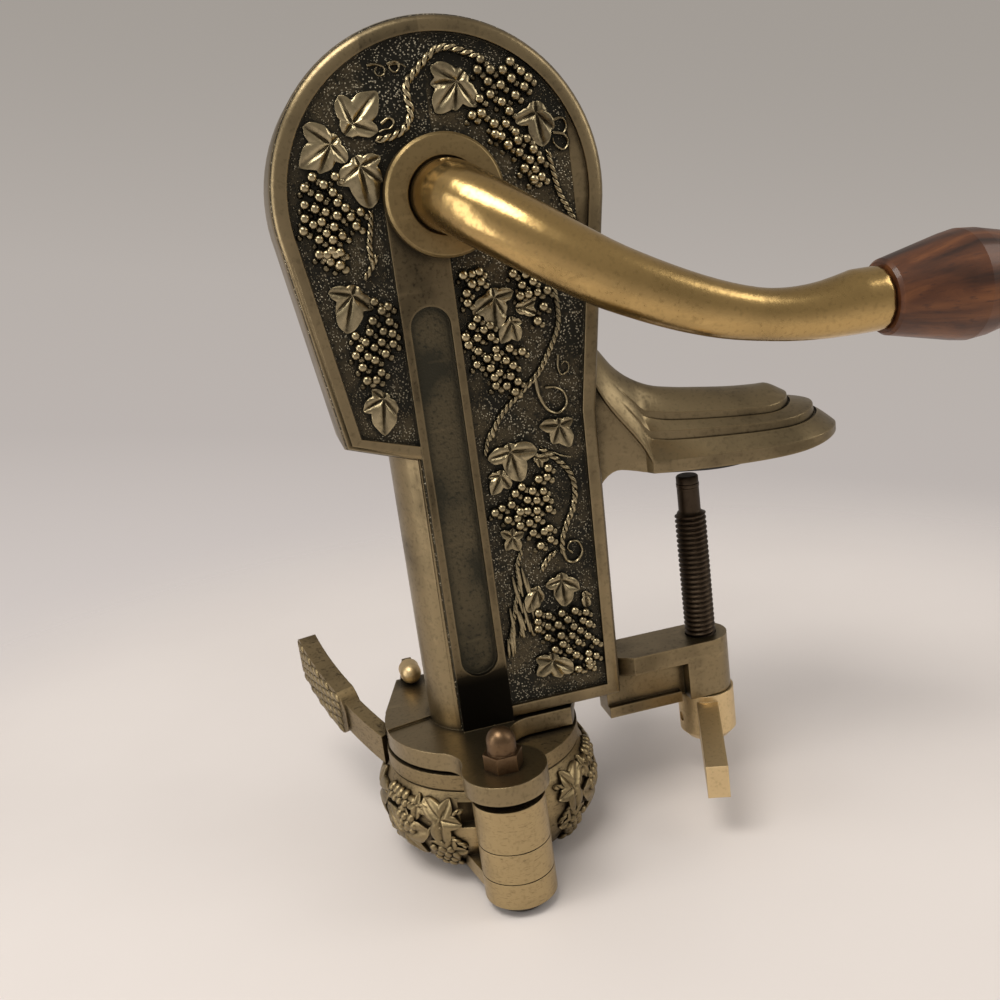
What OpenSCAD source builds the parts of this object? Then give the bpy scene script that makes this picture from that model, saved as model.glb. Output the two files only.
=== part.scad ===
// Table-mounted lever opener for wine bottles.
// The clamp on the right grips a table edge, the two hinged jaws at the foot hold the bottle's neck,
// and half a turn of the handle drives the worm down through the column and back up.
// +X points to the table, +Y away from the user and +Z up. The origin is the middle of the clamping
// face under the upper jaw, where the clamp screw's axis meets the table top.

/* [Head and housing] */
// Outer radius of the round head
head_r = 44; // [40:0.5:50]
// Depth of the housing casting, front edge to rear cover
housing_depth = 27; // [26:0.5:32]
// Thickness of the side walls
wall_t = 3.4; // [2.8:0.1:4.5]
// Width of the raised rim around the decorated front
rim_w = 4.6; // [4:0.1:6]
// Depth of the decorated field below the rim
field_recess = 1.3; // [0.8:0.1:2]
// Thickness of the front wall behind the field
front_wall_t = 3; // [2.4:0.1:3.4]
// Width of the smooth strip below the ring
strip_w = 15; // [12:0.5:18]
// Width of the long round-ended recess in the strip
slot_w = 10.8; // [8:0.2:12]
// Length of the long recess
slot_len = 105.5; // [80:0.5:110]
// Thickness of the rear cover
cover_t = 2.5; // [2:0.1:4]

/* [Column and foot] */
// Distance from the handle shaft's axis to the column's axis, to the left
column_offset = 8; // [4:0.5:12]
// Outer radius of the column
column_r = 14.8; // [14.2:0.1:17]
// Radius of the column's bore
column_bore_r = 11.6; // [11:0.1:12.4]
// Height from the foot's top face to the handle shaft's axis
shaft_height = 149; // [146:0.5:160]
// Thickness of the foot flange
foot_t = 5.5; // [4.5:0.1:8]
// Radius of the foot flange's round front
foot_r = 28.5; // [26:0.5:32]
// Distance from the column's axis forward to the hinge bolt's axis
hinge_reach = 38; // [36.5:0.5:44]

/* [Table clamp] */
// Distance from the handle shaft's axis to the clamp screw's axis
screw_reach = 65.2; // [60:0.5:80]
// Height of the clamp's mouth, jaw pad to lower arm
mouth_h = 56.2; // [45:0.5:70]
// Width of the upper jaw
jaw_w = 41; // [36:0.5:50]
// Length of the upper jaw past the screw's axis
jaw_nose = 47.2; // [44, 47.2, 47.5, 48]
// Thickness of the upper jaw at its edge
jaw_edge_t = 3.4; // [2.6:0.1:5]
// Thickness of the pad under the upper jaw
pad_t = 1; // [0.6:0.1:3]
// Width of the lower arm's top flange
arm_flange_w = 16.2; // [14.5:0.2:22]
// Height of the lower arm
arm_h = 19.5; // [16:0.5:26]
// Radius of the clamp screw over its threads
screw_r = 4.76; // [4:0.05:6]
// Pitch of the clamp screw
screw_pitch = 1.5875; // [1:0.0625:2]
// Length of each wing of the wing lever, from the screw's axis
wing_len = 39.5; // [30:0.5:40]

/* [Bottle jaws] */
// Radius of the bottle neck that the closed jaws hold
neck_r = 14.75; // [13.5:0.25:16]
// Outer radius of the jaws' plain upper band
band_r = 29; // [27:0.5:32]
// Height of the jaws
bottle_jaw_h = 32; // [28:0.5:36]
// Thickness of the rubber linings
lining_t = 2.2; // [1.5:0.1:3]
// Radius of the hinge knuckles
knuckle_r = 10.1; // [9:0.1:11]
// Distance of the hinge bolt's axis to the right of the column's axis
hinge_shift = -1.6; // [-3:0.1:0]
// Radius of the hinge bolt
hinge_bolt_r = 3; // [2.5:0.25:4]
// Width across the flats of the acorn nut
acorn_af = 9.5; // [8:0.25:11]
// Length of each jaw's handle, along its curve
jaw_handle_len = 64; // [45:1:75]

/* [Lever and crank] */
// Crank radius, half of the worm's travel
crank_r = 31; // [28:0.5:32]
// Outer radius of the ring around the handle shaft
ring_r = 15.5; // [13:0.5:18]
// Radius of the hole in the ring
ring_hole_r = 9.8; // [9.6:0.1:11]
// Height of the ring above the front edge
ring_h = 4.5; // [2:0.1:6]
// Radius of the handle shaft
shaft_r = 7; // [6:0.25:8]
// Radius of the lever arm where it leaves the ring
arm_root_r = 9.2; // [8:0.1:9.4]
// Radius of the lever arm at its narrowest
arm_waist_r = 6.4; // [5.5:0.1:7.5]
// Radius of the collar that seats the grip
arm_collar_r = 8; // [7.6:0.1:9]
// Reach of the lever arm, from the shaft's axis to the grip
arm_reach = 97; // [85:1:120]
// Drop of the lever arm, from the shaft's axis to the grip's axis
arm_drop = 38; // [28:1:46]
// Distance that the lever arm stands forward of the front edge
arm_forward = 42; // [36:1:52]
// Largest radius of the wooden grip
grip_r = 14; // [11:0.5:17]
// Length of the wooden grip
grip_len = 92; // [70:1:110]
// Radius of the steel rod through the grip
rod_r = 3.5; // [3:0.1:4]

/* [Worm] */
// Outer radius of the worm
worm_r = 4.7; // [4:0.1:5]
// Radius of the worm's wire
wire_r = 1.5; // [1.2:0.1:1.8]
// Advance of the worm in one turn
worm_lead = 9.5; // [8:0.25:11]
// Number of turns in the worm
worm_turns = 5.5; // [4.5:0.25:6]

/* [Hidden] */
$fn = 96;

// Clearances: a running fit, a press or seated face, and an open gap between parts that move past
// each other.
run = 0.05;
gap = 0.3;
// Overlap of round shapes that would only graze each other
graze = 0.05;

// Everything below is measured from the handle shaft's axis and the housing's front edge.
column_x = -column_offset;
mid_y = 14;
foot_z = -shaft_height;
foot_under_z = foot_z - foot_t;
bevel_w = 2;
bevel_d = 3.5;
corner_x = 35.4;
corner_z = -61.5;
block_x = 33.6;
ledge_z = -71;
column_top_z = -60;
arm_z = -141;
pad_z = arm_z + mouth_h;
jaw_under_z = pad_z + pad_t;
jaw_top_z = jaw_under_z + jaw_edge_t;
screw_x = screw_reach;

function polar(r, a) = [r * cos(a), r * sin(a)];
// Angle at which a line from the point p touches a circle of radius r round the origin
function touch_angle(p, r, side) = atan2(p[1], p[0]) + side * acos(r / norm(p));
function arc_points(c, r, a0, a1, n) = [for (i = [0:n]) c + polar(r, a0 + (a1 - a0) * i / n)];

function unit(v) = v / norm(v);

// Moves a piece from the shaft's frame to the frame of the whole opener
module place() {
    translate([-screw_x, -mid_y, -pad_z]) children();
}
// Lays a drawing in X and Z and extrudes it backwards from y0 to y1
module slab(y0, y1) {
    translate([0, y1, 0]) rotate([90, 0, 0]) linear_extrude(y1 - y0) children();
}
// Round bar along Y
module bar_y(r, y0, y1) {
    translate([0, y1, 0]) rotate([90, 0, 0]) cylinder(r = r, h = y1 - y0);
}
// Round bar along Z
module bar_z(r, z0, z1) {
    translate([0, 0, z0]) cylinder(r = r, h = z1 - z0);
}
// Round bar along X
module bar_x(r, x0, x1) {
    translate([x0, 0, 0]) rotate([0, 90, 0]) cylinder(r = r, h = x1 - x0);
}
module hexagon_bar(af, h) {
    cylinder(r = af / sqrt(3), h = h, $fn = 6);
}
module at_column() {
    translate([column_x, mid_y, 0]) children();
}
module at_hinge() {
    translate([column_x + hinge_shift, mid_y - hinge_reach, 0]) children();
}

// Outline of the housing, drawn inset by a constant width: round head, slanted left side that makes
// room for the connecting rod, ledge, and the straight block that carries the clamp. The sides end a
// hair inside the head's circle, so that they cross it at an angle and don't only graze it.
module housing_outline(inset) {
    r = head_r - inset;
    left = [-corner_x + inset, corner_z + inset * 0.55];
    right = [corner_x - inset, corner_z];
    union() {
        circle(r = r);
        polygon([polar(r - graze, touch_angle(left, r, -1)), left, [column_x, ledge_z + inset * 1.1],
            [column_x, foot_z + inset], [block_x - inset, foot_z + inset], right,
            polar(r - graze, touch_angle(right, r, 1))]);
    }
}
// Decorated field inside the rim
module field_outline() {
    housing_outline(rim_w);
}
module long_slot(w, len) {
    top = -27.2 - w / 2;
    union() {
        translate([column_x, top]) circle(r = w / 2);
        translate([column_x, top - len + w]) circle(r = w / 2);
        translate([column_x - w / 2, top - len + w]) square([w, len - w]);
    }
}

// Main casting
module housing_shell() {
    difference() {
        union() {
            slab(bevel_d, housing_depth) housing_outline(0);
            slab(bevel_d * 0.55, bevel_d) housing_outline(bevel_w * 0.2);
            slab(bevel_d * 0.25, bevel_d * 0.55) housing_outline(bevel_w * 0.5);
            slab(0, bevel_d * 0.25) housing_outline(bevel_w);
        }
        slab(-1, field_recess) field_outline();
        slab(field_recess + front_wall_t, housing_depth + 1) housing_outline(wall_t);
    }
}
module column_solid() {
    intersection() {
        at_column() bar_z(column_r, foot_under_z, column_top_z);
        union() {
            translate([column_x - 40, 0.9, foot_under_z]) cube([80, 60, ledge_z + 4 - foot_under_z]);
            slab(field_recess + 1, housing_depth) housing_outline(wall_t / 2);
        }
    }
}
module strip() {
    difference() {
        translate([column_x - strip_w / 2, -0.3, foot_z]) cube([strip_w, 3.2, shaft_height - ring_r + 2]);
        slab(-1, 0.9) long_slot(slot_w, slot_len);
    }
}
// Foot flange: round about the column on the left, cut off flush with the front on the right, with
// the ear for the hinge bolt blended in by a hollow on each side
ear_r = knuckle_r + 1.6;
hollow_r = 9;
left_hollow_d = foot_r + hollow_r;
module foot_plan() {
    ear = [hinge_shift, -hinge_reach];
    d = norm(ear);
    a = acos((left_hollow_d * left_hollow_d + d * d - (ear_r + hollow_r) * (ear_r + hollow_r))
        / (2 * d * left_hollow_d));
    left_c = polar(left_hollow_d, 270 - asin(-hinge_shift / d) - a);
    right_y = -mid_y - hollow_r;
    right_c = [ear[0] + sqrt(pow(ear_r + hollow_r, 2) - pow(right_y - ear[1], 2)), right_y];
    back_w = foot_r * 0.72;
    union() {
        difference() {
            circle(r = foot_r);
            translate([0, -foot_r - 1]) square([foot_r + 2, foot_r + 1 - mid_y]);
        }
        polygon([[-foot_r, 0], [-foot_r + 1.2, 9], [-back_w, 31], [back_w, 31], [foot_r - 1.2, 9],
            [foot_r - 3, 0]]);
        translate(ear) circle(r = ear_r);
        difference() {
            polygon([[0, 0], left_c, ear, right_c, [right_c[0], -mid_y], [right_c[0], 0]]);
            translate(left_c) circle(r = hollow_r + graze);
            translate(right_c) circle(r = hollow_r + graze);
        }
    }
}
knob_r = 3.3;
knob_x = column_x - 16;
knob_y = mid_y + 26;
knob_z = foot_z + knob_r + 0.9;
module foot() {
    at_column() translate([0, 0, foot_under_z]) linear_extrude(foot_t) foot_plan();
    intersection() {
        at_column() translate([0, 0, foot_z - 0.1]) linear_extrude(0.8) foot_plan();
        at_column() translate([-foot_r - 1, -3, 0]) rotate([0, 0, 12]) translate([0, 0, foot_z - 1])
            cube([3 * foot_r, foot_r * 2, 3]);
    }
    translate([knob_x - knob_r, knob_y + 4.2, foot_z - 1]) cube([2 * knob_r, 3, knob_r * 2 + 1.4]);
}
// Upper jaw: a leaf in plan, with two terraces on its crowned back. Each level's back is a cone along
// the jaw, drawn down to the nose by an arc, and runs up the neck as a ring round the throat's centre.
throat_x = block_x + 30.4;
throat_z = jaw_top_z + 44.3;
throat_r = 26.8;
module jaw_plan(inset, root, short = 0) {
    half = jaw_w / 2 - inset;
    nose = [screw_x + jaw_nose - jaw_w / 2 - short, 0];
    t = polar(half, 90 + asin((half - root[1]) / (nose[0] - root[0])));
    union() {
        translate(nose) circle(r = half);
        polygon([[root[0], -root[1]], nose + [t[0], -t[1]], nose + t, root]);
    }
}
// crest and r: height of the ridge's axis and its radius at x = seat_x; dive: slope of the cone's
// axis; flare: half angle of the cone
module jaw_level(inset, root, short, axis_z, r, dive, flare, nose_r, fall) {
    seat_x = block_x + 26.4;
    len = screw_x + jaw_nose - seat_x + 8;
    middle_x = seat_x + 18;
    top_z = axis_z + r - 18 * tan(dive - flare);
    intersection() {
        translate([0, mid_y, jaw_under_z]) linear_extrude(60) jaw_plan(inset, root, short);
        union() {
            intersection() {
                translate([seat_x, mid_y, axis_z]) rotate([0, 90 + dive, 0]) translate([0, 0, -6])
                    cylinder(r1 = r - 6 * tan(flare), r2 = r + len * tan(flare), h = len + 6);
                slab(-jaw_w, 2 * jaw_w) union() {
                    translate([middle_x, top_z - nose_r - fall]) circle(r = nose_r);
                    translate([seat_x - 12, jaw_under_z]) square([30, 60]);
                }
            }
            translate([throat_x, mid_y, throat_z]) rotate([90, 0, 0]) rotate([0, 0, 180])
                rotate_extrude(angle = 84) translate([throat_z - axis_z, 0]) circle(r = r);
        }
    }
}
module jaw_neck() {
    r = 9.5;
    translate([throat_x - throat_r - r, mid_y, throat_z]) sphere(r = r);
    // Gusset under the ridge, with a hollow where it meets the block
    intersection() {
        slab(mid_y - 14, mid_y + 14) difference() {
            polygon([[block_x - 3, jaw_top_z + 42], [block_x - 0.6, jaw_top_z + 36],
                [block_x + 17.4, jaw_top_z + 0.6], [block_x + 22, jaw_top_z - 1],
                [block_x + 22, jaw_under_z], [block_x + 16.9, jaw_under_z], [block_x + 12, jaw_under_z + 1.8],
                [block_x + 6, jaw_under_z + 2.6], [block_x + 6, jaw_under_z - 5],
                [block_x - 3, jaw_under_z - 5]]);
            translate([block_x + 6.2, jaw_under_z - 3.6]) circle(r = 6.2);
        }
        translate([0, mid_y, jaw_under_z - 8]) linear_extrude(60) polygon([[block_x - 3, -9],
            [block_x + 8, -9.6], [block_x + 16.9, -12.4], [block_x + 22, -13], [block_x + 22, 13],
            [block_x + 16.9, 12.4], [block_x + 8, 9.6], [block_x - 3, 9]]);
    }
}
// The nose's underside turns up over this length, by this much
nose_len = 24;
nose_rise = 3;
module upper_jaw() {
    root = [block_x + 16.9, 12.6];
    end_x = screw_x + jaw_nose;
    difference() {
        union() {
            intersection() {
                translate([0, mid_y, jaw_under_z]) linear_extrude(jaw_edge_t + nose_rise) jaw_plan(0, root);
                slab(-jaw_w, 2 * jaw_w) polygon([[block_x, jaw_under_z - 1], [end_x + 3, jaw_under_z - 1],
                    [end_x + 3, jaw_under_z + nose_rise + 1.6], [end_x - nose_len, jaw_top_z + 0.4],
                    [block_x, jaw_top_z + 0.4]]);
            }
            jaw_level(0.2, root, 0.6, jaw_top_z - 8.4, 17.6, 31, 28, 72, 0.4);
            jaw_level(5, [block_x - 4, 5.5], 3, jaw_top_z + 4.7, 11.2, 31.8, 22.5, 55, 0);
            jaw_level(9.3, [block_x - 4, 5.2], 5, jaw_top_z + 8.3, 9.5, 19.3, 10.2, 40, 0);
            jaw_neck();
        }
        translate([screw_x, mid_y, jaw_under_z - 1]) cylinder(r = 14.2, h = 1.4);
        slab(-jaw_w, 2 * jaw_w) polygon([[end_x - nose_len, jaw_under_z - 0.1],
            [end_x + 3, jaw_under_z + nose_rise], [end_x + 3, jaw_under_z - 2],
            [end_x - nose_len, jaw_under_z - 2]]);
    }
}
hub_r = 8.8;
module lower_arm() {
    end_x = screw_x + arm_flange_w / 2;
    half = arm_flange_w / 2;
    difference() {
        union() {
            translate([0, mid_y, arm_z - 5.8]) linear_extrude(5.8) union() {
                translate([screw_x, 0]) circle(r = half);
                polygon([[screw_x, -half], [40, -half], [36, -half + 2.5], [block_x - 2, -half + 7],
                    [block_x - 2, half - 7], [36, half - 2.5], [40, half], [screw_x, half]]);
            }
            translate([block_x - 2, mid_y - 3.2, arm_z - arm_h + 1.6])
                cube([screw_x - block_x, 6.4, arm_h - 2.6]);
            translate([block_x - 2, mid_y - 5, arm_z - arm_h]) cube([screw_x - block_x - hub_r + 1, 10, 3.4]);
            translate([screw_x, mid_y, 0]) bar_z(half, arm_z - arm_h + 1.6, arm_z - 1);
            translate([screw_x - half, mid_y - half, arm_z - arm_h + 1.6])
                cube([half, arm_flange_w, arm_h - 2.6]);
        }
        translate([screw_x, mid_y, 0]) bar_z(screw_r + run, arm_z - arm_h - 1, arm_z + 1);
    }
}
// Round the head the screws go into thickenings of the wall that stay clear of the crank's sweep
post_r = 3.2;
module cover_screw_places() {
    for (p = [polar(head_r - 2.6, 150), polar(head_r - 2.6, 90), polar(head_r - 2.6, 30), [25, -68],
        [25, foot_z + 9]]) translate([p[0], 0, p[1]]) children();
}
module bushing_screw_places() {
    for (a = [45, 135, 225, 315]) rotate([0, a, 0]) translate([ring_r - 2.9, 0, 0]) children();
}
module body_casting() {
    place() color("#8a7345") difference() {
        union() {
            housing_shell();
            column_solid();
            strip();
            foot();
            upper_jaw();
            lower_arm();
            slab(field_recess, housing_depth - 8) intersection() {
                translate([block_x - 7, foot_z]) square([7, -foot_z + corner_z]);
                housing_outline(wall_t / 2);
            }
            intersection() {
                cover_screw_places() bar_y(post_r, field_recess + 1, housing_depth);
                slab(field_recess, housing_depth) housing_outline(wall_t / 2);
            }
        }
        at_column() bar_z(column_bore_r, foot_under_z - 1, carriage_top_z + 1);
        bar_y(ring_r - 5.5, -1, 9);
        at_hinge() bar_z(hinge_bolt_r + 0.2, foot_under_z - 1, foot_z + 1);
        translate([knob_x, 0, knob_z]) bar_y(knob_r - 1.4, knob_y + 3, knob_y + 9);
        cover_screw_places() bar_y(1.2, housing_depth - 12, housing_depth + 1);
        bar_y(ring_r, -1, field_recess);
        bushing_screw_places() bar_y(1.25, 0, field_recess + front_wall_t + 1);
    }
}
module rear_cover() {
    place() color("#84703f") difference() {
        slab(housing_depth, housing_depth + cover_t) difference() {
            union() {
                housing_outline(0.6);
            }
            translate([column_x - column_r - gap, foot_z - 1]) square([2 * column_r + 2 * gap,
                ledge_z - foot_z + 5 + gap]);
            translate([column_x - 60, foot_z - 1]) square([60, ledge_z - foot_z - 4]);
            translate([column_x - 60, foot_z - 1]) square([120, 1.7 + gap]);
        }
        cover_screw_places() bar_y(1.3, housing_depth - 1, housing_depth + cover_t + 1);
    }
}
module cover_screws() {
    place() color("#3a3226") cover_screw_places() {
        bar_y(1.15, housing_depth - 8, housing_depth + cover_t);
        translate([0, housing_depth + cover_t, 0]) rotate([-90, 0, 0]) difference() {
            cylinder(r1 = 2.2, r2 = 1.7, h = 1.5);
            translate([-2.2, -0.35, 0.8]) cube([4.4, 0.7, 1]);
        }
    }
}

// Ring on the front: a flanged bushing whose hole takes the lever arm's round end, and whose long
// barrel runs back through the front wall to carry the shaft
barrel_r = ring_r - 5.6;
disc_y = field_recess + front_wall_t + gap;
disc_t = 4;
module front_bushing() {
    place() color("#9c8350") difference() {
        union() {
            bar_y(ring_r, -ring_h + 0.8, field_recess);
            translate([0, -ring_h + 0.8, 0]) rotate([90, 0, 0]) cylinder(r1 = ring_r, r2 = ring_r - 0.7, h = 0.8);
            bar_y(barrel_r, 0, disc_y - gap);
        }
        bar_y(ring_hole_r, -ring_h - 1, -0.8);
        bar_y(shaft_r + run, -ring_h - 1, disc_y + 1);
    }
}
module bushing_screws() {
    place() color("#3a3226") bushing_screw_places() bar_y(1.2, field_recess, disc_y - gap);
}
// Handle shaft: round through the bushing, with a square for the crank disc and a threaded tip
module handle_shaft() {
    tip_y = disc_y + disc_t;
    place() color("#7d7d7d") union() {
        bar_y(5, -13, -0.8);
        bar_y(shaft_r, -0.9, disc_y);
        translate([-4.5, disc_y - 0.01, -4.5]) cube([9, disc_t + 0.01, 9]);
        bar_y(3, tip_y - 0.01, tip_y + 4);
    }
}
module crank_disc() {
    place() color("#6e6e6c") difference() {
        union() {
            bar_y(13, disc_y, disc_y + disc_t);
            translate([0, 0, crank_r]) bar_y(6.5, disc_y, disc_y + disc_t);
            translate([-6, disc_y, 0]) cube([12, disc_t, crank_r]);
            difference() {
                bar_y(33, disc_y, disc_y + disc_t);
                translate([-40, disc_y - 1, -9]) cube([80, disc_t + 2, 50]);
            }
        }
        translate([-4.5, disc_y - 1, -4.5]) cube([9, disc_t + 2, 9]);
        translate([0, 0, crank_r]) bar_y(3.5, disc_y - 1, disc_y + disc_t + 1);
    }
}
rod_y = disc_y + disc_t + 4.4;
rod_t = 5;
// The crank pin stops just short of the rod's eye: this is the pivot at which the linkage is open
module crank_pin() {
    place() color("#9a9a98") translate([0, 0, crank_r]) union() {
        bar_y(3.5, disc_y + 0.3, disc_y + disc_t);
        bar_y(4.5, disc_y + disc_t, rod_y - gap);
    }
}
module crank_nut() {
    place() color("#5c5a55") translate([0, disc_y + disc_t, 0]) rotate([-90, 0, 0]) difference() {
        hexagon_bar(10, 3.6);
        translate([0, 0, -1]) cylinder(r = 3, h = 6);
    }
}
rod_len = 70;
wrist_z = crank_r - sqrt(rod_len * rod_len - column_offset * column_offset);
module connecting_rod() {
    tilt = asin(column_offset / rod_len);
    place() color("#77736a") translate([column_x, 0, wrist_z]) rotate([0, tilt, 0]) difference() {
        union() {
            bar_y(6.4, rod_y, rod_y + rod_t);
            translate([0, 0, rod_len]) bar_y(6.6, rod_y, rod_y + rod_t);
            translate([-4.2, rod_y, 1]) cube([8.4, rod_t, rod_len - 2]);
        }
        bar_y(3 + run, rod_y - 1, rod_y + rod_t + 1);
        translate([0, 0, rod_len]) bar_y(4.6, rod_y - 1, rod_y + rod_t + 1);
    }
}
module wrist_pin() {
    place() color("#9a9a98") translate([column_x, 0, wrist_z]) bar_y(3, mid_y - 8.2, mid_y + 8.2);
}
// Carriage: slides in the column's bore, forked at the top for the rod, bored below for the spindle
carriage_r = column_bore_r - run;
carriage_top_z = wrist_z + 5;
carriage_under_z = wrist_z - 47;
bearing_top_z = wrist_z - 14;
module carriage() {
    place() color("#8c8472") difference() {
        at_column() bar_z(carriage_r, carriage_under_z, carriage_top_z);
        translate([column_x - 20, rod_y - gap, wrist_z - 9]) cube([40, rod_t + 2 * gap, 20]);
        translate([column_x - 20, -5, wrist_z - 9]) cube([40, rod_y - 7, 20]);
        translate([column_x, 0, wrist_z]) bar_y(3, 0, 40);
        at_column() bar_z(5 + run, carriage_under_z - 1, bearing_top_z);
        at_column() bar_z(7.6, carriage_under_z - 1, carriage_under_z + 4.4);
        at_column() bar_z(7.6, bearing_top_z - 9, bearing_top_z);
        translate([column_x - 7.6, 0, bearing_top_z - 9]) cube([15.2, mid_y, 9]);
    }
}
// Spindle: turns in the carriage between the thrust washers and carries the worm
module spindle() {
    place() color("#9a9a98") at_column() difference() {
        union() {
            bar_z(5, carriage_under_z + 1.2, bearing_top_z - 1.6);
            bar_z(7, carriage_under_z - 3, carriage_under_z + 1.2);
        }
        bar_z(wire_r + 0.1, carriage_under_z - 4, carriage_under_z + 5);
    }
}
module spindle_collar() {
    place() color("#5c5a55") at_column() difference() {
        bar_z(7.2, bearing_top_z - 6.6, bearing_top_z - 1.4);
        bar_z(5, bearing_top_z - 10, bearing_top_z);
    }
}
module thrust_washers() {
    place() color("#b8b4a8") at_column() for (z = [carriage_under_z + 1.2, bearing_top_z - 8.9])
        difference() {
            bar_z(7.3, z + 0.1, z + 2.2);
            bar_z(5 + run, z - 1, z + 5);
        }
}
// Worm: wire wound to an open helix round nothing. Its straight shank is held in the spindle, from
// which the wire swings out to the full radius within half a turn; its tip is drawn to a point.
worm_core_r = worm_r - wire_r;
worm_top_z = carriage_under_z - 3;
worm_shank = 6;
worm_ring_n = 9;
worm_step_n = 16;
function ease(t) = t <= 0 ? 0 : t >= 1 ? 1 : t * t * (3 - 2 * t);
// Point on the wire's middle line, u turns below the spindle; u below 0 is in the shank
function worm_path(u) = let (a = -360 * max(u, 0), r = worm_core_r * ease(u / 0.6))
    [r * cos(a), r * sin(a), -worm_lead * u];
function worm_ring(u) = let (
        h = unit(worm_path(u + 0.01) - worm_path(u - 0.01)),
        o = polar(1, -360 * max(u, 0)),
        out = [o[0], o[1], 0],
        a = unit(out - (out * h) * h),
        b = cross(h, a),
        r = wire_r * min(1, 0.12 + (worm_turns - u) / 0.4))
    [for (j = [0:worm_ring_n - 1]) worm_path(u) + r * (a * cos(360 * j / worm_ring_n)
        + b * sin(360 * j / worm_ring_n))];
// Faces of a tube that joins m + 1 rings of n points, closed by a fan at each end
function tube_faces(m, n) = concat(
    [for (i = [0:m - 1]) for (j = [0:n - 1]) let (a = i * n + j, b = i * n + (j + 1) % n)
        each [[b, a, b + n], [b + n, a, a + n]]],
    [for (j = [1:n - 2]) [j + 1, 0, j]],
    [for (j = [1:n - 2]) [m * n + j, m * n, m * n + j + 1]]);
module worm() {
    coil_n = round(worm_turns * worm_step_n);
    rings = concat([worm_ring(-worm_shank / worm_lead)], [for (i = [0:coil_n]) worm_ring(i / worm_step_n)]);
    place() color("#c8c6c0") at_column() translate([0, 0, worm_top_z + 1])
        polyhedron(points = [for (r = rings) each r], faces = tube_faces(coil_n + 1, worm_ring_n));
}
// Guide that makes the worm turn as it goes down: a bush in the column's foot
module worm_guide() {
    place() color("#a58a52") at_column() difference() {
        bar_z(column_bore_r, foot_under_z + 0.4, foot_under_z + 3.4);
        bar_z(worm_r + 0.25, foot_under_z - 1, foot_under_z + 6);
    }
}
module mouth_seat() {
    place() color("#6a5a3a") at_column() difference() {
        bar_z(13.6, foot_under_z - 3, foot_under_z);
        translate([0, 0, foot_under_z - 3.1]) cylinder(r1 = 12.6, r2 = 9.8, h = 3.2);
    }
}

// Clamp
module jaw_pad() {
    place() color("#26231f") translate([screw_x, mid_y, pad_z]) union() {
        linear_extrude(pad_t) difference() {
            translate([-screw_x, 0]) jaw_plan(3.5, [block_x + 20, 10], nose_len - 3);
            translate([-30, -30]) square([16, 60]);
        }
        cylinder(r = 14, h = pad_t + 0.4);
    }
}
point_z = pad_z - 4.9;
shoulder_z = point_z - 11;
hub_top_z = arm_z - arm_h + 1.6 - gap;
hub_h = 16;
module clamp_screw() {
    place() color("#2e2822") translate([screw_x, mid_y, 0]) difference() {
        union() {
            bar_z(screw_r - 1.4, shoulder_z - 1, point_z - 0.4);
            translate([0, 0, point_z - 0.4]) cylinder(r1 = screw_r - 1.4, r2 = screw_r - 1.8, h = 0.4);
            bar_z(screw_r, hub_top_z - hub_h + 3, shoulder_z - 0.8);
            translate([0, 0, shoulder_z - 0.8]) cylinder(r1 = screw_r, r2 = screw_r - 0.8, h = 0.8);
        }
        translate([0, 0, point_z - 3.6]) difference() {
            cylinder(r = screw_r, h = 1.2);
            translate([0, 0, -1]) cylinder(r = screw_r - 2, h = 4);
        }
        translate([0, 0, hub_top_z - 9]) bar_x(1.5, -10, 10);
    }
}
module point_ring() {
    place() color("#4a4540") translate([screw_x, mid_y, point_z - 3.5]) difference() {
        cylinder(r = screw_r - 1.3, h = 1);
        translate([0, 0, -1]) cylinder(r = screw_r - 2 + run, h = 3);
        translate([-1, 0, -1]) cube([2, 10, 3]);
    }
}
wing_turn = 20;
module wing_lever() {
    bar_w = 6.4;
    bar_h = 10;
    droop = wing_len * 0.12;
    place() color("#94794a") translate([screw_x, mid_y, hub_top_z]) rotate([0, 0, -wing_turn]) difference() {
        union() {
            bar_z(hub_r, -hub_h + 2.4, 0);
            translate([0, 0, -hub_h]) cylinder(r1 = hub_r - 2.2, r2 = hub_r, h = 2.4);
            for (side = [0, 180]) rotate([0, 0, side]) rotate([90, 0, 90])
                translate([0, 0, -bar_w / 2]) linear_extrude(bar_w) polygon([[0, -2], [-hub_r, -2],
                    [-wing_len, -2 - droop], [-wing_len, -2 - droop - bar_h], [-hub_r, -hub_h + 1],
                    [0, -hub_h + 1]]);
        }
        bar_z(screw_r, -hub_h + 3 - 0.01, 1);
        translate([0, 0, -9]) rotate([0, 0, wing_turn]) bar_x(1.5, -12, 12);
    }
}
module wing_pin() {
    place() color("#3a3226") translate([screw_x, mid_y, hub_top_z - 9]) bar_x(1.5, -8.2, 8.2);
}

// Bottle jaws: two half rings on one hinge bolt, lined with rubber, each with a curved handle
jaw_high_z = foot_under_z - 1;
jaw_low_z = jaw_high_z - bottle_jaw_h;
lining_seat_r = neck_r + lining_t;
knuckle_top_z = foot_under_z - 3;
knuckle_a_z = knuckle_top_z - 12.8;
knuckle_b_z = knuckle_a_z - 9.2;
knuckle_c_z = knuckle_b_z - 10.6;
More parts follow.
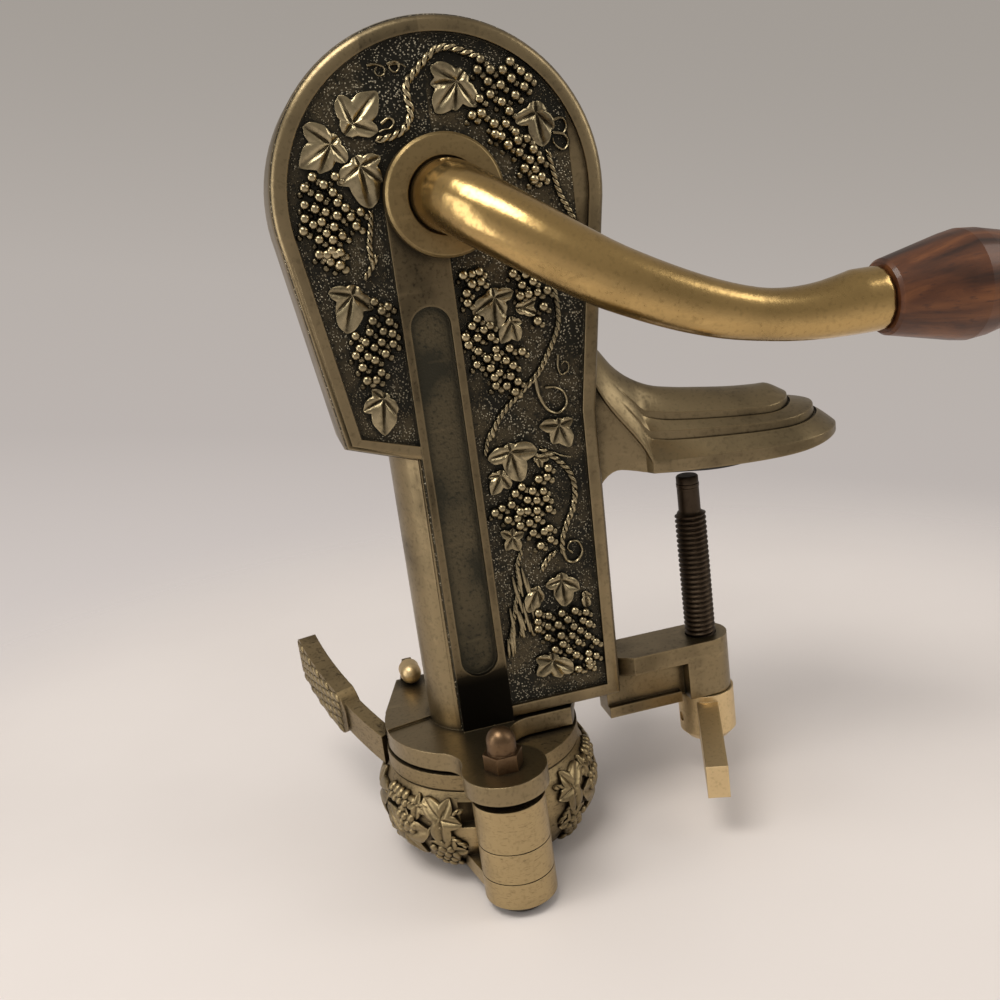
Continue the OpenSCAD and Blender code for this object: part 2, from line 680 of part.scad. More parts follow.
// Profile of a jaw's wall, radius against height: plain band, bulging relief field, drawn-in foot
module jaw_profile() {
    bulge_r = 20;
    bulge_c = [band_r + 2.8 - bulge_r, jaw_high_z - bottle_jaw_h * 0.5];
    polygon(concat([[neck_r + 0.3, jaw_high_z], [band_r, jaw_high_z], [band_r, jaw_high_z - 4.6],
            [band_r - 0.6, jaw_high_z - 5.2]],
        arc_points(bulge_c, bulge_r, 32, -44, 8),
        [[lining_seat_r + 6, jaw_low_z], [lining_seat_r, jaw_low_z], [lining_seat_r, jaw_high_z - 4],
            [neck_r + 0.3, jaw_high_z - 4]]));
}
module half_ring(split) {
    rotate([0, 0, 90 + split]) rotate_extrude(angle = 180 - 2 * split) children();
}
// Handle: a strap bent to a large radius that rises towards its tip, with a wider, thicker end for
// the thumb
module jaw_handle() {
    bend_r = 198;
    strap_t = 4.6;
    pad_h = 16;
    turn = (jaw_handle_len - pad_h / 2) / bend_r * 180 / PI;
    end_turn = pad_h / 2 / bend_r * 180 / PI;
    translate([-band_r + 1, 6, jaw_high_z - 3]) rotate([13, 0, 0]) rotate([0, 0, 25.8]) translate([bend_r, 0, 0]) {
        rotate([0, 0, 180 - turn]) rotate_extrude(angle = turn)
            translate([bend_r - strap_t / 2, -5]) square([strap_t, 10.5]);
        difference() {
            rotate([0, 0, 180 - turn - end_turn]) rotate_extrude(angle = turn * 0.5 + 2 * end_turn)
                translate([bend_r - strap_t / 2 - 0.4, -pad_h / 2]) square([strap_t + 1.2, pad_h]);
            for (side = [-1, 1]) rotate([0, 0, 180 - turn * (0.75 + 0.25 * side)])
                translate([bend_r, 0, 0]) difference() {
                    translate([-6, side > 0 ? -12 : 1, -pad_h]) cube([12, 11, 2 * pad_h]);
                    bar_x(pad_h / 2 + 0.6, -8, 8);
                }
        }
    }
}
// Half ring with the web that joins it to its knuckles
module jaw_half() {
    at_column() half_ring(0.5) jaw_profile();
    at_column() difference() {
        jaw_handle();
        bar_z(foot_r + 0.5, foot_under_z - gap, foot_z + 2);
    }
}
module hinge_clear(z0, z1) {
    at_hinge() bar_z(knuckle_r + gap, z0, z1);
}
module hinge_hole() {
    at_hinge() bar_z(hinge_bolt_r + run, knuckle_c_z - 5, knuckle_top_z + 5);
}
module left_jaw() {
    place() color("#7c6a44") difference() {
        union() {
            difference() {
                jaw_half();
                hinge_clear(knuckle_b_z - gap, knuckle_a_z + gap);
                hinge_clear(knuckle_top_z - 0.1, jaw_high_z + 1);
                // Slit beside the upper knuckle
                at_hinge() translate([-knuckle_r - 2.6, -2, knuckle_a_z]) cube([4, 14, 7]);
            }
            at_hinge() bar_z(knuckle_r, knuckle_a_z + gap / 2, knuckle_top_z);
            at_hinge() bar_z(knuckle_r, knuckle_c_z + 3, knuckle_b_z - gap / 2);
            at_hinge() translate([0, 0, knuckle_c_z]) cylinder(r1 = knuckle_r - 3.4, r2 = knuckle_r, h = 3);
            // Web from the ring to the lower knuckle
            intersection() {
                at_hinge() translate([-knuckle_r + 0.4, 0, jaw_low_z + 3]) rotate([0, 0, 12])
                    cube([12, 16, knuckle_b_z - gap - jaw_low_z - 3.2]);
                at_column() difference() {
                    translate([-60, -60, jaw_low_z - 10]) cube([59.7, 60, 60]);
                    bar_z(lining_seat_r + 2, jaw_low_z - 11, jaw_high_z + 1);
                }
            }
        }
        hinge_hole();
        at_hinge() bar_z(acorn_af * 0.7, knuckle_c_z - 1, knuckle_c_z + 4);
    }
}
module right_jaw() {
    place() color("#7c6a44") difference() {
        union() {
            difference() {
                translate([2 * column_x, 0, 0]) mirror([1, 0, 0]) jaw_half();
                hinge_clear(knuckle_a_z - gap, jaw_high_z + 1);
                hinge_clear(jaw_low_z - 1, knuckle_b_z + gap);
            }
            at_hinge() bar_z(knuckle_r, knuckle_b_z + gap / 2, knuckle_a_z - gap / 2);
            // Web from the ring to the middle knuckle
            intersection() {
                at_hinge() translate([knuckle_r - 8, 0, knuckle_b_z + gap + 0.1])
                    cube([8, 16, knuckle_a_z - knuckle_b_z - 2 * gap - 0.2]);
                at_column() difference() {
                    translate([0.3, -60, jaw_low_z - 10]) cube([60, 60, 60]);
                    bar_z(lining_seat_r + 2, jaw_low_z - 11, jaw_high_z + 1);
                }
            }
        }
        hinge_hole();
    }
}
module lining() {
    at_column() half_ring(0.5) translate([neck_r, jaw_low_z]) square([lining_t, bottle_jaw_h - 4]);
}
module left_lining() {
    place() color("#1f1d1b") lining();
}
module right_lining() {
    place() color("#1f1d1b") translate([2 * column_x, 0, 0]) mirror([1, 0, 0]) lining();
}
module hinge_bolt() {
    place() color("#4a4030") at_hinge() union() {
        bar_z(hinge_bolt_r, knuckle_c_z + 3.9, foot_z + 6);
        translate([0, 0, knuckle_c_z + 0.9]) hexagon_bar(acorn_af, 3);
    }
}
module hinge_washers() {
    place() color("#2c2925") at_hinge() for (z = [foot_under_z - 1.4, foot_under_z - 2.9]) difference() {
        bar_z(knuckle_r - 2.5, z, z + 1.3);
        bar_z(hinge_bolt_r + run, z - 1, z + 3);
    }
}
module acorn_nut() {
    nut_h = 4.6;
    dome_r = acorn_af * 0.42;
    place() color("#5e4a30") at_hinge() translate([0, 0, foot_z]) difference() {
        union() {
            hexagon_bar(acorn_af, nut_h);
            cylinder(r = dome_r, h = nut_h + 3);
            translate([0, 0, nut_h + 3]) sphere(r = dome_r);
        }
        translate([0, 0, -1]) cylinder(r = hinge_bolt_r, h = 7);
    }
}
// Stop knob: a short domed stud in the lug behind the column
module stop_knob() {
    place() color("#9c8350") translate([knob_x, 0, knob_z]) union() {
        bar_y(knob_r, knob_y, knob_y + 4.2);
        translate([0, knob_y, 0]) sphere(r = knob_r);
        bar_y(knob_r - 1.4, knob_y + 4.1, knob_y + 8.4);
    }
}

// Lever arm: comes forward out of the ring, sweeps right and down, and ends in a collar for the grip.
// Its axis is a curve through a few control points, blended as a Bezier chain.
arm_end = [arm_reach, -arm_forward, -arm_drop];
function blend(p, t) = let (u = 1 - t)
    u * u * u * p[0] + 3 * u * u * t * p[1] + 3 * u * t * t * p[2] + t * t * t * p[3];
arm_first = [[0, -ring_h, 0], [0, -ring_h - 13, 0], [arm_reach * 0.12, -arm_forward * 0.7, -arm_drop * 0.3],
    [arm_reach * 0.3, -arm_forward * 0.86, -arm_drop * 0.6]];
arm_second = [arm_first[3], 2 * arm_first[3] - arm_first[2] + [3, 0, 0], arm_end - [arm_reach * 0.3, 0, 3],
    arm_end - [7, 0, 0]];
function arm_point(s) = s < 0.45 ? blend(arm_first, s / 0.45) : blend(arm_second, (s - 0.45) / 0.55);
function arm_radius(s) = s < 0.78 ? arm_root_r + (arm_waist_r - arm_root_r) * pow(s / 0.78, 1.4)
    : arm_waist_r + (arm_collar_r - arm_waist_r) * pow((s - 0.78) / 0.22, 2);
arm_ring_n = 28;
arm_step_n = 30;
function arm_heading(i) = i == 0 ? [0, -1, 0] : i == arm_step_n ? [1, 0, 0]
    : unit(arm_point((i + 0.5) / arm_step_n) - arm_point((i - 0.5) / arm_step_n));
function arm_ring(i) = let (
        s = i / arm_step_n,
        h = arm_heading(i),
        a = unit(cross(h, [0, 0, 1])),
        b = cross(h, a))
    [for (j = [0:arm_ring_n - 1]) arm_point(s) + arm_radius(s) * (a * cos(360 * j / arm_ring_n)
        + b * sin(360 * j / arm_ring_n))];
module lever_arm() {
    points = [for (i = [0:arm_step_n]) each arm_ring(i)];
    place() color("#a8854a") difference() {
        union() {
            polyhedron(points = points, faces = tube_faces(arm_step_n, arm_ring_n));
            bar_y(arm_root_r - 0.12, -ring_h - 0.5, -0.9);
            translate([arm_end[0] - 7.5, arm_end[1], arm_end[2]]) bar_x(arm_collar_r, 0, 7.5);
        }
        bar_y(5, -13.1, 0);
        translate([0, -8.5, 0]) bar_z(1.5, -20, 20);
        translate(arm_end) bar_x(rod_r, -16, 1);
    }
}
module arm_pin() {
    place() color("#3a3226") translate([0, -8.5, 0]) difference() {
        bar_z(1.5, -8.8, 8.8);
        bar_y(5, -5, 5);
    }
}
// The grip turns on a rod that is screwed into the lever arm's collar
module grip_rod() {
    place() color("#8d8d8b") translate(arm_end) union() {
        bar_x(rod_r, -16, grip_len + 3);
    }
}
module grip_profile() {
    polygon(concat([[rod_r + run, 0.3], [arm_collar_r + 0.8, 0.3], [arm_collar_r + 1.5, 1.2]],
        [[grip_r - 0.6, grip_len * 0.2], [grip_r, grip_len * 0.24], [grip_r - 0.4, grip_len * 0.29]],
        [[grip_r - 2.6, grip_len * 0.4], [grip_r - 3.4, grip_len * 0.55], [grip_r - 2.6, grip_len * 0.72],
            [grip_r - 1.2, grip_len * 0.84], [grip_r - 1.6, grip_len * 0.92], [grip_r - 4, grip_len * 0.98],
            [7.2, grip_len], [rod_r + run, grip_len]]));
}
module wood_grip() {
    place() color("#6b2f1a") translate(arm_end) rotate([0, 90, 0]) rotate_extrude() grip_profile();
}
module grip_end_nut() {
    place() color("#9c8350") translate(arm_end + [grip_len + gap, 0, 0]) rotate([0, 90, 0]) difference() {
        union() {
            cylinder(r = 6.4, h = 1.6);
            translate([0, 0, 1.6]) cylinder(r1 = 6, r2 = 3.4, h = 3);
        }
        translate([0, 0, -1]) cylinder(r = rod_r, h = 3.7);
    }
}

body_casting();
rear_cover();
cover_screws();
front_bushing();
bushing_screws();
handle_shaft();
crank_disc();
crank_pin();
crank_nut();
connecting_rod();
wrist_pin();
carriage();
spindle();
spindle_collar();
thrust_washers();
worm();
worm_guide();
mouth_seat();
jaw_pad();
clamp_screw();
point_ring();
wing_lever();
wing_pin();
left_jaw();
right_jaw();
left_lining();
right_lining();
hinge_bolt();
hinge_washers();
acorn_nut();
stop_knob();
lever_arm();
arm_pin();
grip_rod();
wood_grip();
grip_end_nut();
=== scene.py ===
import bpy
import math
from mathutils import Vector, Matrix


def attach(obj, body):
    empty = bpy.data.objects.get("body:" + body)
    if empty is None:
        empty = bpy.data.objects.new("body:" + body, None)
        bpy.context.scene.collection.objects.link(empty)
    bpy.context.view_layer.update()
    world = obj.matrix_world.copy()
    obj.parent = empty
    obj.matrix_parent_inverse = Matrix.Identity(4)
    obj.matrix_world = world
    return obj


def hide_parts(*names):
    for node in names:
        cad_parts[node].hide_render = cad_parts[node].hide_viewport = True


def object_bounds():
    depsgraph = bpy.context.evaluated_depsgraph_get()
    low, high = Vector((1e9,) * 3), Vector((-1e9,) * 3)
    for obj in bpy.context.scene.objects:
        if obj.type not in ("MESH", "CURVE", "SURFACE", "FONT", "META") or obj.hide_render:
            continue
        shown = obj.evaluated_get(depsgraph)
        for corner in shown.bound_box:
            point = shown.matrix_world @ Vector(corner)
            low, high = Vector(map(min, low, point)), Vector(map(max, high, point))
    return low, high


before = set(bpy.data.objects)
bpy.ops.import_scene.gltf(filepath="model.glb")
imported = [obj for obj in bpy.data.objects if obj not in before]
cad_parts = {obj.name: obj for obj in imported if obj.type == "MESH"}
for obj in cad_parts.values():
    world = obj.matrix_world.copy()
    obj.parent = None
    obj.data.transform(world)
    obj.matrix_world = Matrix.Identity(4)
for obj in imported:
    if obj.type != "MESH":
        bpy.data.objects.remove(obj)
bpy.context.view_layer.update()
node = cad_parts


# Viewpoint: a hand-held phone picture, taken from the left and a little above, with the phone tilted.
# Sizes are in millimetres from the lever's shaft axis at the housing's front rim: x right, y back, z up.
# spot() turns them into metres from the clamp screw's axis at the height of the upper jaw's underside.
screw_x, screw_y, jaw_underside = 65.2, 14.0, -84.8


def spot(x, y, z):
    return Vector(((x - screw_x) / 1000, (y - screw_y) / 1000, (z - jaw_underside) / 1000))


def look_from(place, yaw, pitch, roll):
    ahead = Vector((math.sin(yaw) * math.cos(pitch), math.cos(yaw) * math.cos(pitch), -math.sin(pitch)))
    right = ahead.cross(Vector((0, 0, 1))).normalized()
    up = right.cross(ahead)
    side = math.cos(roll) * right + math.sin(roll) * up
    top = math.cos(roll) * up - math.sin(roll) * right
    turn = Matrix((side, top, -ahead)).transposed().to_4x4()
    return Matrix.Translation(spot(*place)) @ turn


bpy.ops.object.select_all(action="DESELECT")
phone = bpy.data.objects.new("phone", bpy.data.cameras.new("phone"))
bpy.context.scene.collection.objects.link(phone)
phone.data.sensor_width = 36
phone.data.lens = 39.6
phone.data.clip_start = 0.01
phone.matrix_world = look_from((-56.78, -287.19, -1.17), yaw=0.209, pitch=0.27, roll=-0.134)
bpy.context.scene.camera = phone
bpy.context.scene.view_settings.view_transform = "Standard"


# Table top and studio light: a pale table that fades into a warm grey wall, and large soft lamps
# overhead and at the sides, as in a kitchen. The table is only the scene's stage.
class Wire:
    """A value inside a finish. Sums and products of wires and numbers add Math nodes to it."""

    def __init__(self, finish, socket):
        self.finish, self.socket = finish, socket

    def _math(self, operation, *values):
        return self.finish.add("Math", dict(enumerate(values)), operation=operation)

    def __add__(self, other):
        return self._math("ADD", self, other)

    __radd__ = __add__

    def __sub__(self, other):
        return self._math("SUBTRACT", self, other)

    def __rsub__(self, other):
        return self._math("SUBTRACT", other, self)

    def __mul__(self, other):
        return self._math("MULTIPLY", self, other)

    __rmul__ = __mul__

    def size(self):
        return self._math("ABSOLUTE", self)

    def larger(self, other):
        return self._math("MAXIMUM", self, other)

    def smaller(self, other):
        return self._math("MINIMUM", self, other)

    def rise(self, low, high, start=0.0, end=1.0):
        """Smooth step from start to end as the value goes from low to high."""
        return self.finish.add("MapRange", {"Value": self, "From Min": low, "From Max": high,
            "To Min": start, "To Max": end}, interpolation_type="SMOOTHSTEP")

    def near(self, middle, close, far):
        """1 where the value is close to the middle, and 0 from far on."""
        return (self - middle).size().rise(close, far, 1.0, 0.0)


class Finish:
    """A material built round one Principled shader."""

    def __init__(self, name, fixed=()):
        self.material = bpy.data.materials.new(name)
        self.material.use_nodes = True
        self.tree = self.material.node_tree
        self.shader = self.tree.nodes["Principled BSDF"]
        for socket, value in dict(fixed).items():
            self.shader.inputs[socket].default_value = value

    def add(self, kind, sockets=(), out=0, stops=None, **settings):
        made = self.tree.nodes.new("ShaderNode" + kind)
        for name, value in settings.items():
            setattr(made, name, value)
        for _ in range(len(stops or ()) - 2):
            made.color_ramp.elements.new(0.5)
        for element, (place, shade) in zip(made.color_ramp.elements if stops else (), stops or ()):
            element.position, element.color = place, (*shade, 1)
        for name, value in dict(sockets).items():
            self.join(made.inputs[name], value)
        return Wire(self, made.outputs[out])

    def join(self, socket, value):
        if isinstance(value, Wire):
            self.tree.links.new(value.socket, socket)
        elif socket.type == "RGBA":
            socket.default_value = (*value, 1)
        else:
            socket.default_value = value

    def surface(self, **sockets):
        for name, value in sockets.items():
            self.join(self.shader.inputs[name.replace("_", " ")], value)

    def blend(self, share, first, second):
        return self.add("Mix", {0: share, 6: first, 7: second}, out=2, data_type="RGBA")

    def here(self, turn=(0, 0, 0), stretch=(1, 1, 1)):
        place = self.add("TexCoord", out="Object")
        return self.add("Mapping", {"Vector": place, "Rotation": turn, "Scale": stretch})

    def places(self):
        """How far right, back and up each point lies, in this file's millimetres."""
        measured = self.add("Mapping", {"Vector": self.here(), "Location": (screw_x, screw_y, jaw_underside),
            "Scale": (1000, 1000, 1000)})
        split = self.add("SeparateXYZ", {0: measured}).socket.node
        return [Wire(self, axis) for axis in split.outputs]

    def noise(self, scale, detail=2.0, at=None, **more):
        return self.add("TexNoise", {"Vector": at or self.here(), "Scale": scale, "Detail": detail, **more})


def lamp(name, place, aim, size, power, shade):
    made = bpy.data.objects.new(name, bpy.data.lights.new(name, "AREA"))
    bpy.context.scene.collection.objects.link(made)
    made.data.shape = "RECTANGLE"
    made.data.size, made.data.size_y = size
    made.data.energy = power
    made.data.color = shade
    made.location = place
    made.rotation_euler = (Vector(aim) - Vector(place)).to_track_quat("-Z", "Y").to_euler()


table_middle = (-0.08, 0.0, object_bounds()[0].z - 0.0002)
table_r, fade_start, fade_end = 0.62, 0.2, 0.42
bpy.ops.mesh.primitive_circle_add(vertices=96, radius=table_r, fill_type="NGON", location=table_middle)
table = bpy.context.object
table.name = "table_top"
bpy.ops.object.transform_apply()
laminate = Finish("pale_table", {"Roughness": 0.55, "Specular IOR Level": 0.2})
from_middle = laminate.add("VectorMath", {0: laminate.here(), 1: table_middle}, operation="SUBTRACT")
spread = laminate.add("VectorMath", {0: from_middle}, out="Value", operation="LENGTH")
clouded = laminate.noise(scale=9.0, detail=3.0).rise(0.3, 0.7)
laminate.surface(Base_Color=laminate.blend(clouded, (0.66, 0.615, 0.59), (0.64, 0.595, 0.57)))
faded = laminate.add("BsdfTransparent")
mixed = laminate.add("MixShader", {0: spread.rise(fade_start, fade_end), 2: faded})
laminate.tree.links.new(laminate.shader.outputs[0], mixed.socket.node.inputs[1])
laminate.tree.links.new(mixed.socket, laminate.tree.nodes["Material Output"].inputs[0])
table.data.materials.append(laminate.material)

world = bpy.data.worlds.new("room")
bpy.context.scene.world = world
world.use_nodes = True
room = Finish.__new__(Finish)
room.tree = world.node_tree
seen = room.add("LightPath", out="Is Camera Ray").larger(room.add("LightPath", out="Is Glossy Ray"))
seen = seen.larger(room.add("LightPath", out="Is Transmission Ray"))
around = room.add("TexCoord", out="Generated")
slant = room.add("SeparateXYZ", {0: around}, out="Z") + room.add("SeparateXYZ", {0: around}, out="X") * 0.2
wall = room.add("ValToRGB", {0: slant.rise(-0.42, 0.25)}, stops=[(0.0, (0.66, 0.60, 0.57)),
    (0.3, (0.50, 0.455, 0.43)), (0.6, (0.47, 0.43, 0.40)), (1.0, (0.36, 0.33, 0.30))])
even_light = (0.62, 0.60, 0.58)
backdrop = room.tree.nodes["Background"]
room.join(backdrop.inputs["Color"], room.blend(seen, even_light, wall))
backdrop.inputs["Strength"].default_value = 1.0

warm, cooler = (1, 0.96, 0.9), (1, 0.97, 0.93)
lamp("overhead_lamp", (-0.35, -0.25, 0.75), (-0.06, 0, 0), size=(0.55, 0.35), power=5, shade=warm)
lamp("right_lamp", (0.55, -0.25, 0.35), (-0.03, 0, 0), size=(0.3, 0.5), power=1.4, shade=warm)
lamp("left_lamp", (-0.75, -0.1, 0.15), (-0.06, 0, 0), size=(0.25, 0.6), power=1.35, shade=cooler)


# Housing: one brass casting of head, block, column, foot and lower arm, browned all over and then rubbed.
# Its front rim is rolled over by filing, and a long recess is milled in the strip down its front.
def pick(piece):
    """Selects one piece alone and makes it active."""
    bpy.ops.object.select_all(action="DESELECT")
    bpy.context.view_layer.objects.active = piece
    piece.select_set(True)


def edit(piece, action="SELECT"):
    """Opens one piece in edit mode, with all or nothing of it selected."""
    pick(piece)
    bpy.ops.object.mode_set(mode="EDIT")
    bpy.ops.mesh.select_all(action=action)


def join_points(piece, gap, outward=False):
    """Merges points closer than the gap, and turns the faces outwards if asked to."""
    edit(piece)
    bpy.ops.mesh.remove_doubles(threshold=gap)
    if outward:
        bpy.ops.mesh.normals_make_consistent(inside=False)
    bpy.ops.object.mode_set(mode="OBJECT")


def take(name, source):
    """A piece that starts as the CAD node's own shape, with its loose triangles joined."""
    piece = bpy.data.objects.new(name, node[source].data.copy())
    bpy.context.scene.collection.objects.link(piece)
    piece.data.materials.clear()
    join_points(piece, 0.000002)
    bpy.ops.mesh.customdata_custom_splitnormals_clear()
    return piece


def smooth(piece, angle):
    pick(piece)
    bpy.ops.object.shade_smooth_by_angle(angle=math.radians(angle))


def away(p, a, b):
    """Distance from a point to the straight edge from a to b."""
    edge = b - a
    along = max(0.0, min(1.0, (p - a).dot(edge) / edge.dot(edge)))
    return (p - a - along * edge).length


def measure(place):
    """A place in this file's millimetres, the other way round from spot()."""
    return place.x * 1000 + screw_x, place.y * 1000 + screw_y, place.z * 1000 + jaw_underside


housing = take("cast_housing", "body_casting")
head_r, block_x, shoulder_z = 44.0, 35.4, -61.5
strip_x, ledge_z, foot_x, foot_z = -8.0, -71.0, 33.6, -149.0
# The head's round edge runs on in straight lines from this angle
touch = math.atan2(shoulder_z, block_x) + math.acos(head_r / math.hypot(block_x, shoulder_z))
tangent = Vector((head_r * math.cos(touch), head_r * math.sin(touch)))
shoulder, foot_corner = Vector((block_x, shoulder_z)), Vector((foot_x, foot_z))
flip = Vector((-1, 1))
rim_edges = [(tangent, shoulder), (tangent * flip, shoulder * flip), (shoulder, foot_corner),
    (shoulder * flip, Vector((strip_x, ledge_z))), (Vector((strip_x, foot_z)), foot_corner)]
# How near a point has to be, and each stepped corner's depth and inset with its filed depth
near_depth, near_inset = 0.03, 0.29
filed_depth = {(0.875, 2): 0.0, (0.875, 1): 0.55, (1.925, 1): 0.55, (1.925, 0.4): 1.6, (3.5, 0.4): 1.6}
strip_corner_x, strip_corner_z, strip_end_z = -15.5, -13.5, -1.0
bracket_x, bracket_half, bracket_front, bracket_back = -24.0, 3.4, 43, 49
bracket_foot, bracket_top, bracket_thinner = -146, -142.4, 0.45
for point in housing.data.vertices:
    x, y, z = measure(point.co)
    for (level, inset), filed in filed_depth.items():
        if abs(y - level) < near_depth:
            flat = Vector((x, z))
            reach = min(away(flat, *edge) for edge in rim_edges)
            if z > tangent.y:
                reach = min(reach, abs(head_r - flat.length))
            if abs(reach - inset) < near_inset:
                point.co.y = spot(0, filed, 0).y
                break
    # The strip's upper end runs on under the ring
    if abs(x - strip_corner_x) < 0.05 and abs(z - strip_corner_z) < 0.05:
        point.co.z = spot(0, 0, strip_end_z).z
    # The stop knob's bracket is narrower and lower at its end
    if abs(x - bracket_x) < bracket_half and bracket_front < y < bracket_back and z > bracket_foot:
        point.co.x = spot(bracket_x + (x - bracket_x) * bracket_thinner, 0, 0).x
        point.co.z = spot(0, 0, min(z, bracket_top)).z
join_points(housing, 0.00002)

# The recess is milled straight through the rim behind the strip, with round ends
recess_r, recess_top, recess_length, recess_floor = 5.4, -32.6, 94.7, 1.7
bpy.ops.object.select_all(action="DESELECT")
bpy.ops.mesh.primitive_cylinder_add(vertices=64, radius=recess_r / 1000, depth=0.0026,
    rotation=(math.pi / 2, 0, 0), location=spot(strip_x, 0, recess_top))
cutter = bpy.context.object
bpy.ops.object.transform_apply()
for point in cutter.data.vertices:
    if point.co.z < spot(0, 0, recess_top - 0.01).z:
        point.co.z -= recess_length / 1000
    point.co.y = spot(0, -1 if point.co.y < spot(0, 0, 0).y else recess_floor, 0).y
bpy.context.view_layer.objects.active = housing
milled = housing.modifiers.new("milled", "BOOLEAN")
milled.object, milled.operation, milled.solver = cutter, "DIFFERENCE", "EXACT"
bpy.ops.object.modifier_apply(modifier=milled.name)
bpy.data.objects.remove(cutter)
join_points(housing, 0.000005)
smooth(housing, 32)


def aged_brass(name, bright, dark, rub=1.0, grime=1.0, rough=0.36, edge_r=0.0004, base=0.2, crease=0.004):
    """Browned brass, whose hollows stay dark and whose raised edges are rubbed to yellow metal.
    bright and dark are its two colours, rub and grime how far each goes."""
    metal = Finish(name, {"Metallic": 1.0})
    metal.soft = metal.add("Bevel", {"Radius": edge_r}, samples=4)
    face = metal.add("NewGeometry", out="Normal")
    wide = metal.add("Bevel", {"Radius": 0.0011}, samples=4)
    edge = 1 - metal.add("VectorMath", {0: wide, 1: face}, out="Value", operation="DOT_PRODUCT")
    open_sky = metal.add("AmbientOcclusion", {"Distance": crease}, out="AO", samples=6)
    metal.hollow = (1 - open_sky).rise(0.12, 0.62)
    cloud = metal.noise(scale=55.0, detail=4.0)
    grain = metal.noise(scale=900.0, detail=3.0)
    scuff = metal.noise(scale=300.0, at=metal.here(turn=(0.3, 0.5, 0.2), stretch=(0.15, 1, 1)))
    dirt = base + metal.hollow * 0.95 * grime + cloud.rise(0.42, 0.75, 0.0, 0.4 * grime)
    dirt = dirt + grain.rise(0.5, 0.72, 0.0, 0.2)
    worn = edge.rise(0.02, 0.2) * (1 - metal.hollow) * rub * 0.8 + scuff.rise(0.6, 0.8, 0.0, 0.2)
    metal.dirt = (dirt - worn).larger(0).smaller(1)
    metal.relief = grain * 0.00003 + scuff * 0.00002
    metal.bright, metal.dark, metal.rough = bright, dark, rough
    return metal


def settle(metal, dirt=None, relief=None, colour=None):
    """Ends a brass finish: colour, gloss and surface from its grime and its relief."""
    dirt = metal.dirt if dirt is None else dirt
    relief = metal.relief if relief is None else relief
    metal.surface(Base_Color=colour or metal.blend(dirt, metal.bright, metal.dark),
        Roughness=dirt * 0.22 + metal.rough,
        Normal=metal.add("Bump", {"Height": relief, "Distance": 1.0, "Normal": metal.soft}))
    return metal.material


def coat(material, *pieces):
    """Gives the material to pieces and, by their names, to CAD nodes."""
    for piece in pieces:
        piece = node[piece] if isinstance(piece, str) else piece
        piece.data.materials.clear()
        piece.data.materials.append(material)


# The field inside the rim is punched with fine dots and left dark, with painted glints of pale gold in
# patches between the dots.
# The strip is dull, and its recess brown with dirt; its lower end is painted near black as shadow.
ground, strip_face, strip_half, painted_glint_gold = 1.3, 0.3, 7.4, (0.62, 0.56, 0.42)
cast = aged_brass("antique_brass", (0.3, 0.232, 0.13), (0.04, 0.032, 0.02), base=0.17, rub=1.8, rough=0.29)
across, depth, tall = cast.places()
front = across.rise(block_x - 0.2, block_x, 1.0, 0.0) * tall.rise(foot_z + 0.1, foot_z + 0.3)
field = depth.near(ground, 0.1, 0.3) * front
strip = across.near(strip_x, strip_half, strip_half + 0.4) * depth.near(strip_face, 1.6, 2.0) * front
recess = strip * depth.near(recess_floor, 0.1, 0.3)
# Painted shadow: the strip's lower end, outside the recess, fades to near black
shade = strip * (1 - recess) * tall.rise(-135.3, -128.8, 1.0, 0.0)
dots = cast.add("TexVoronoi", {"Vector": cast.here(), "Scale": 1500}, out="Distance")
punched = dots.rise(0.15, 0.42)
stain_and_painted_shadow = cast.dirt + field * (punched * 0.5 + 0.1) + strip * 0.3 + recess * 0.28 + shade
stain_and_painted_shadow = stain_and_painted_shadow.smaller(1).larger(0)
# The last of these colours is the near black of the painted shadow at the strip's foot
punched_black, recess_brown, painted_shadow_black = (0.027, 0.026, 0.021), (0.05, 0.047, 0.034), (0.008, 0.007, 0.005)
black = cast.blend(field, cast.dark, punched_black)
black = cast.blend(shade, cast.blend(recess, black, recess_brown), painted_shadow_black)
# Painted glint: patches of pale gold between the dots stand in for light caught by the metal
patchy = cast.noise(scale=140.0).rise(0.35, 0.6, 0.15, 1.0)
painted_glint = field * (1 - punched) * patchy * (1 - cast.hollow)
cast_colour = cast.blend(painted_glint, cast.blend(stain_and_painted_shadow, cast.bright, black), painted_glint_gold)
cast_relief = cast.relief - field * punched * 0.00035 + recess * dots * 0.0001
coat(settle(cast, stain_and_painted_shadow, cast_relief, cast_colour), housing)
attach(housing, "opener_body")
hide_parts("body_casting")


# Rear cover: a flat brass plate that closes the back of the housing, held by five screws and never
# polished. The four screws behind the ring and the turned seat under the foot are of the same metal.
rear = aged_brass("rear_brass", (0.3, 0.232, 0.13), (0.043, 0.034, 0.022), base=0.22)
coat(settle(rear), "rear_cover", "cover_screws", "bushing_screws", "mouth_seat")


# Upper jaw: a leaf cast on the block's right side, crowned along its length, with two shallow terraces
# that run up its neck and fade out. It is drawn here as one fair skin, in the same brass as the housing.
def fair(points, x):
    """Height on a smooth line through the points."""
    points = [(2 * points[0][0] - points[1][0], 2 * points[0][1] - points[1][1]), *points,
        (2 * points[-1][0] - points[-2][0], 2 * points[-1][1] - points[-2][1])]
    for a, b, c, d in zip(points, points[1:], points[2:], points[3:]):
        if x <= c[0] or c is points[-2]:
            break
    t = max(0.0, min(1.0, (x - b[0]) / (c[0] - b[0])))
    out, back = (c[1] - a[1]) / (c[0] - a[0]) * (c[0] - b[0]), (d[1] - b[1]) / (d[0] - b[0]) * (c[0] - b[0])
    return ((2 * t ** 3 - 3 * t * t + 1) * b[1] + (t ** 3 - 2 * t * t + t) * out
        + (3 * t * t - 2 * t ** 3) * c[1] + (t ** 3 - t * t) * back)


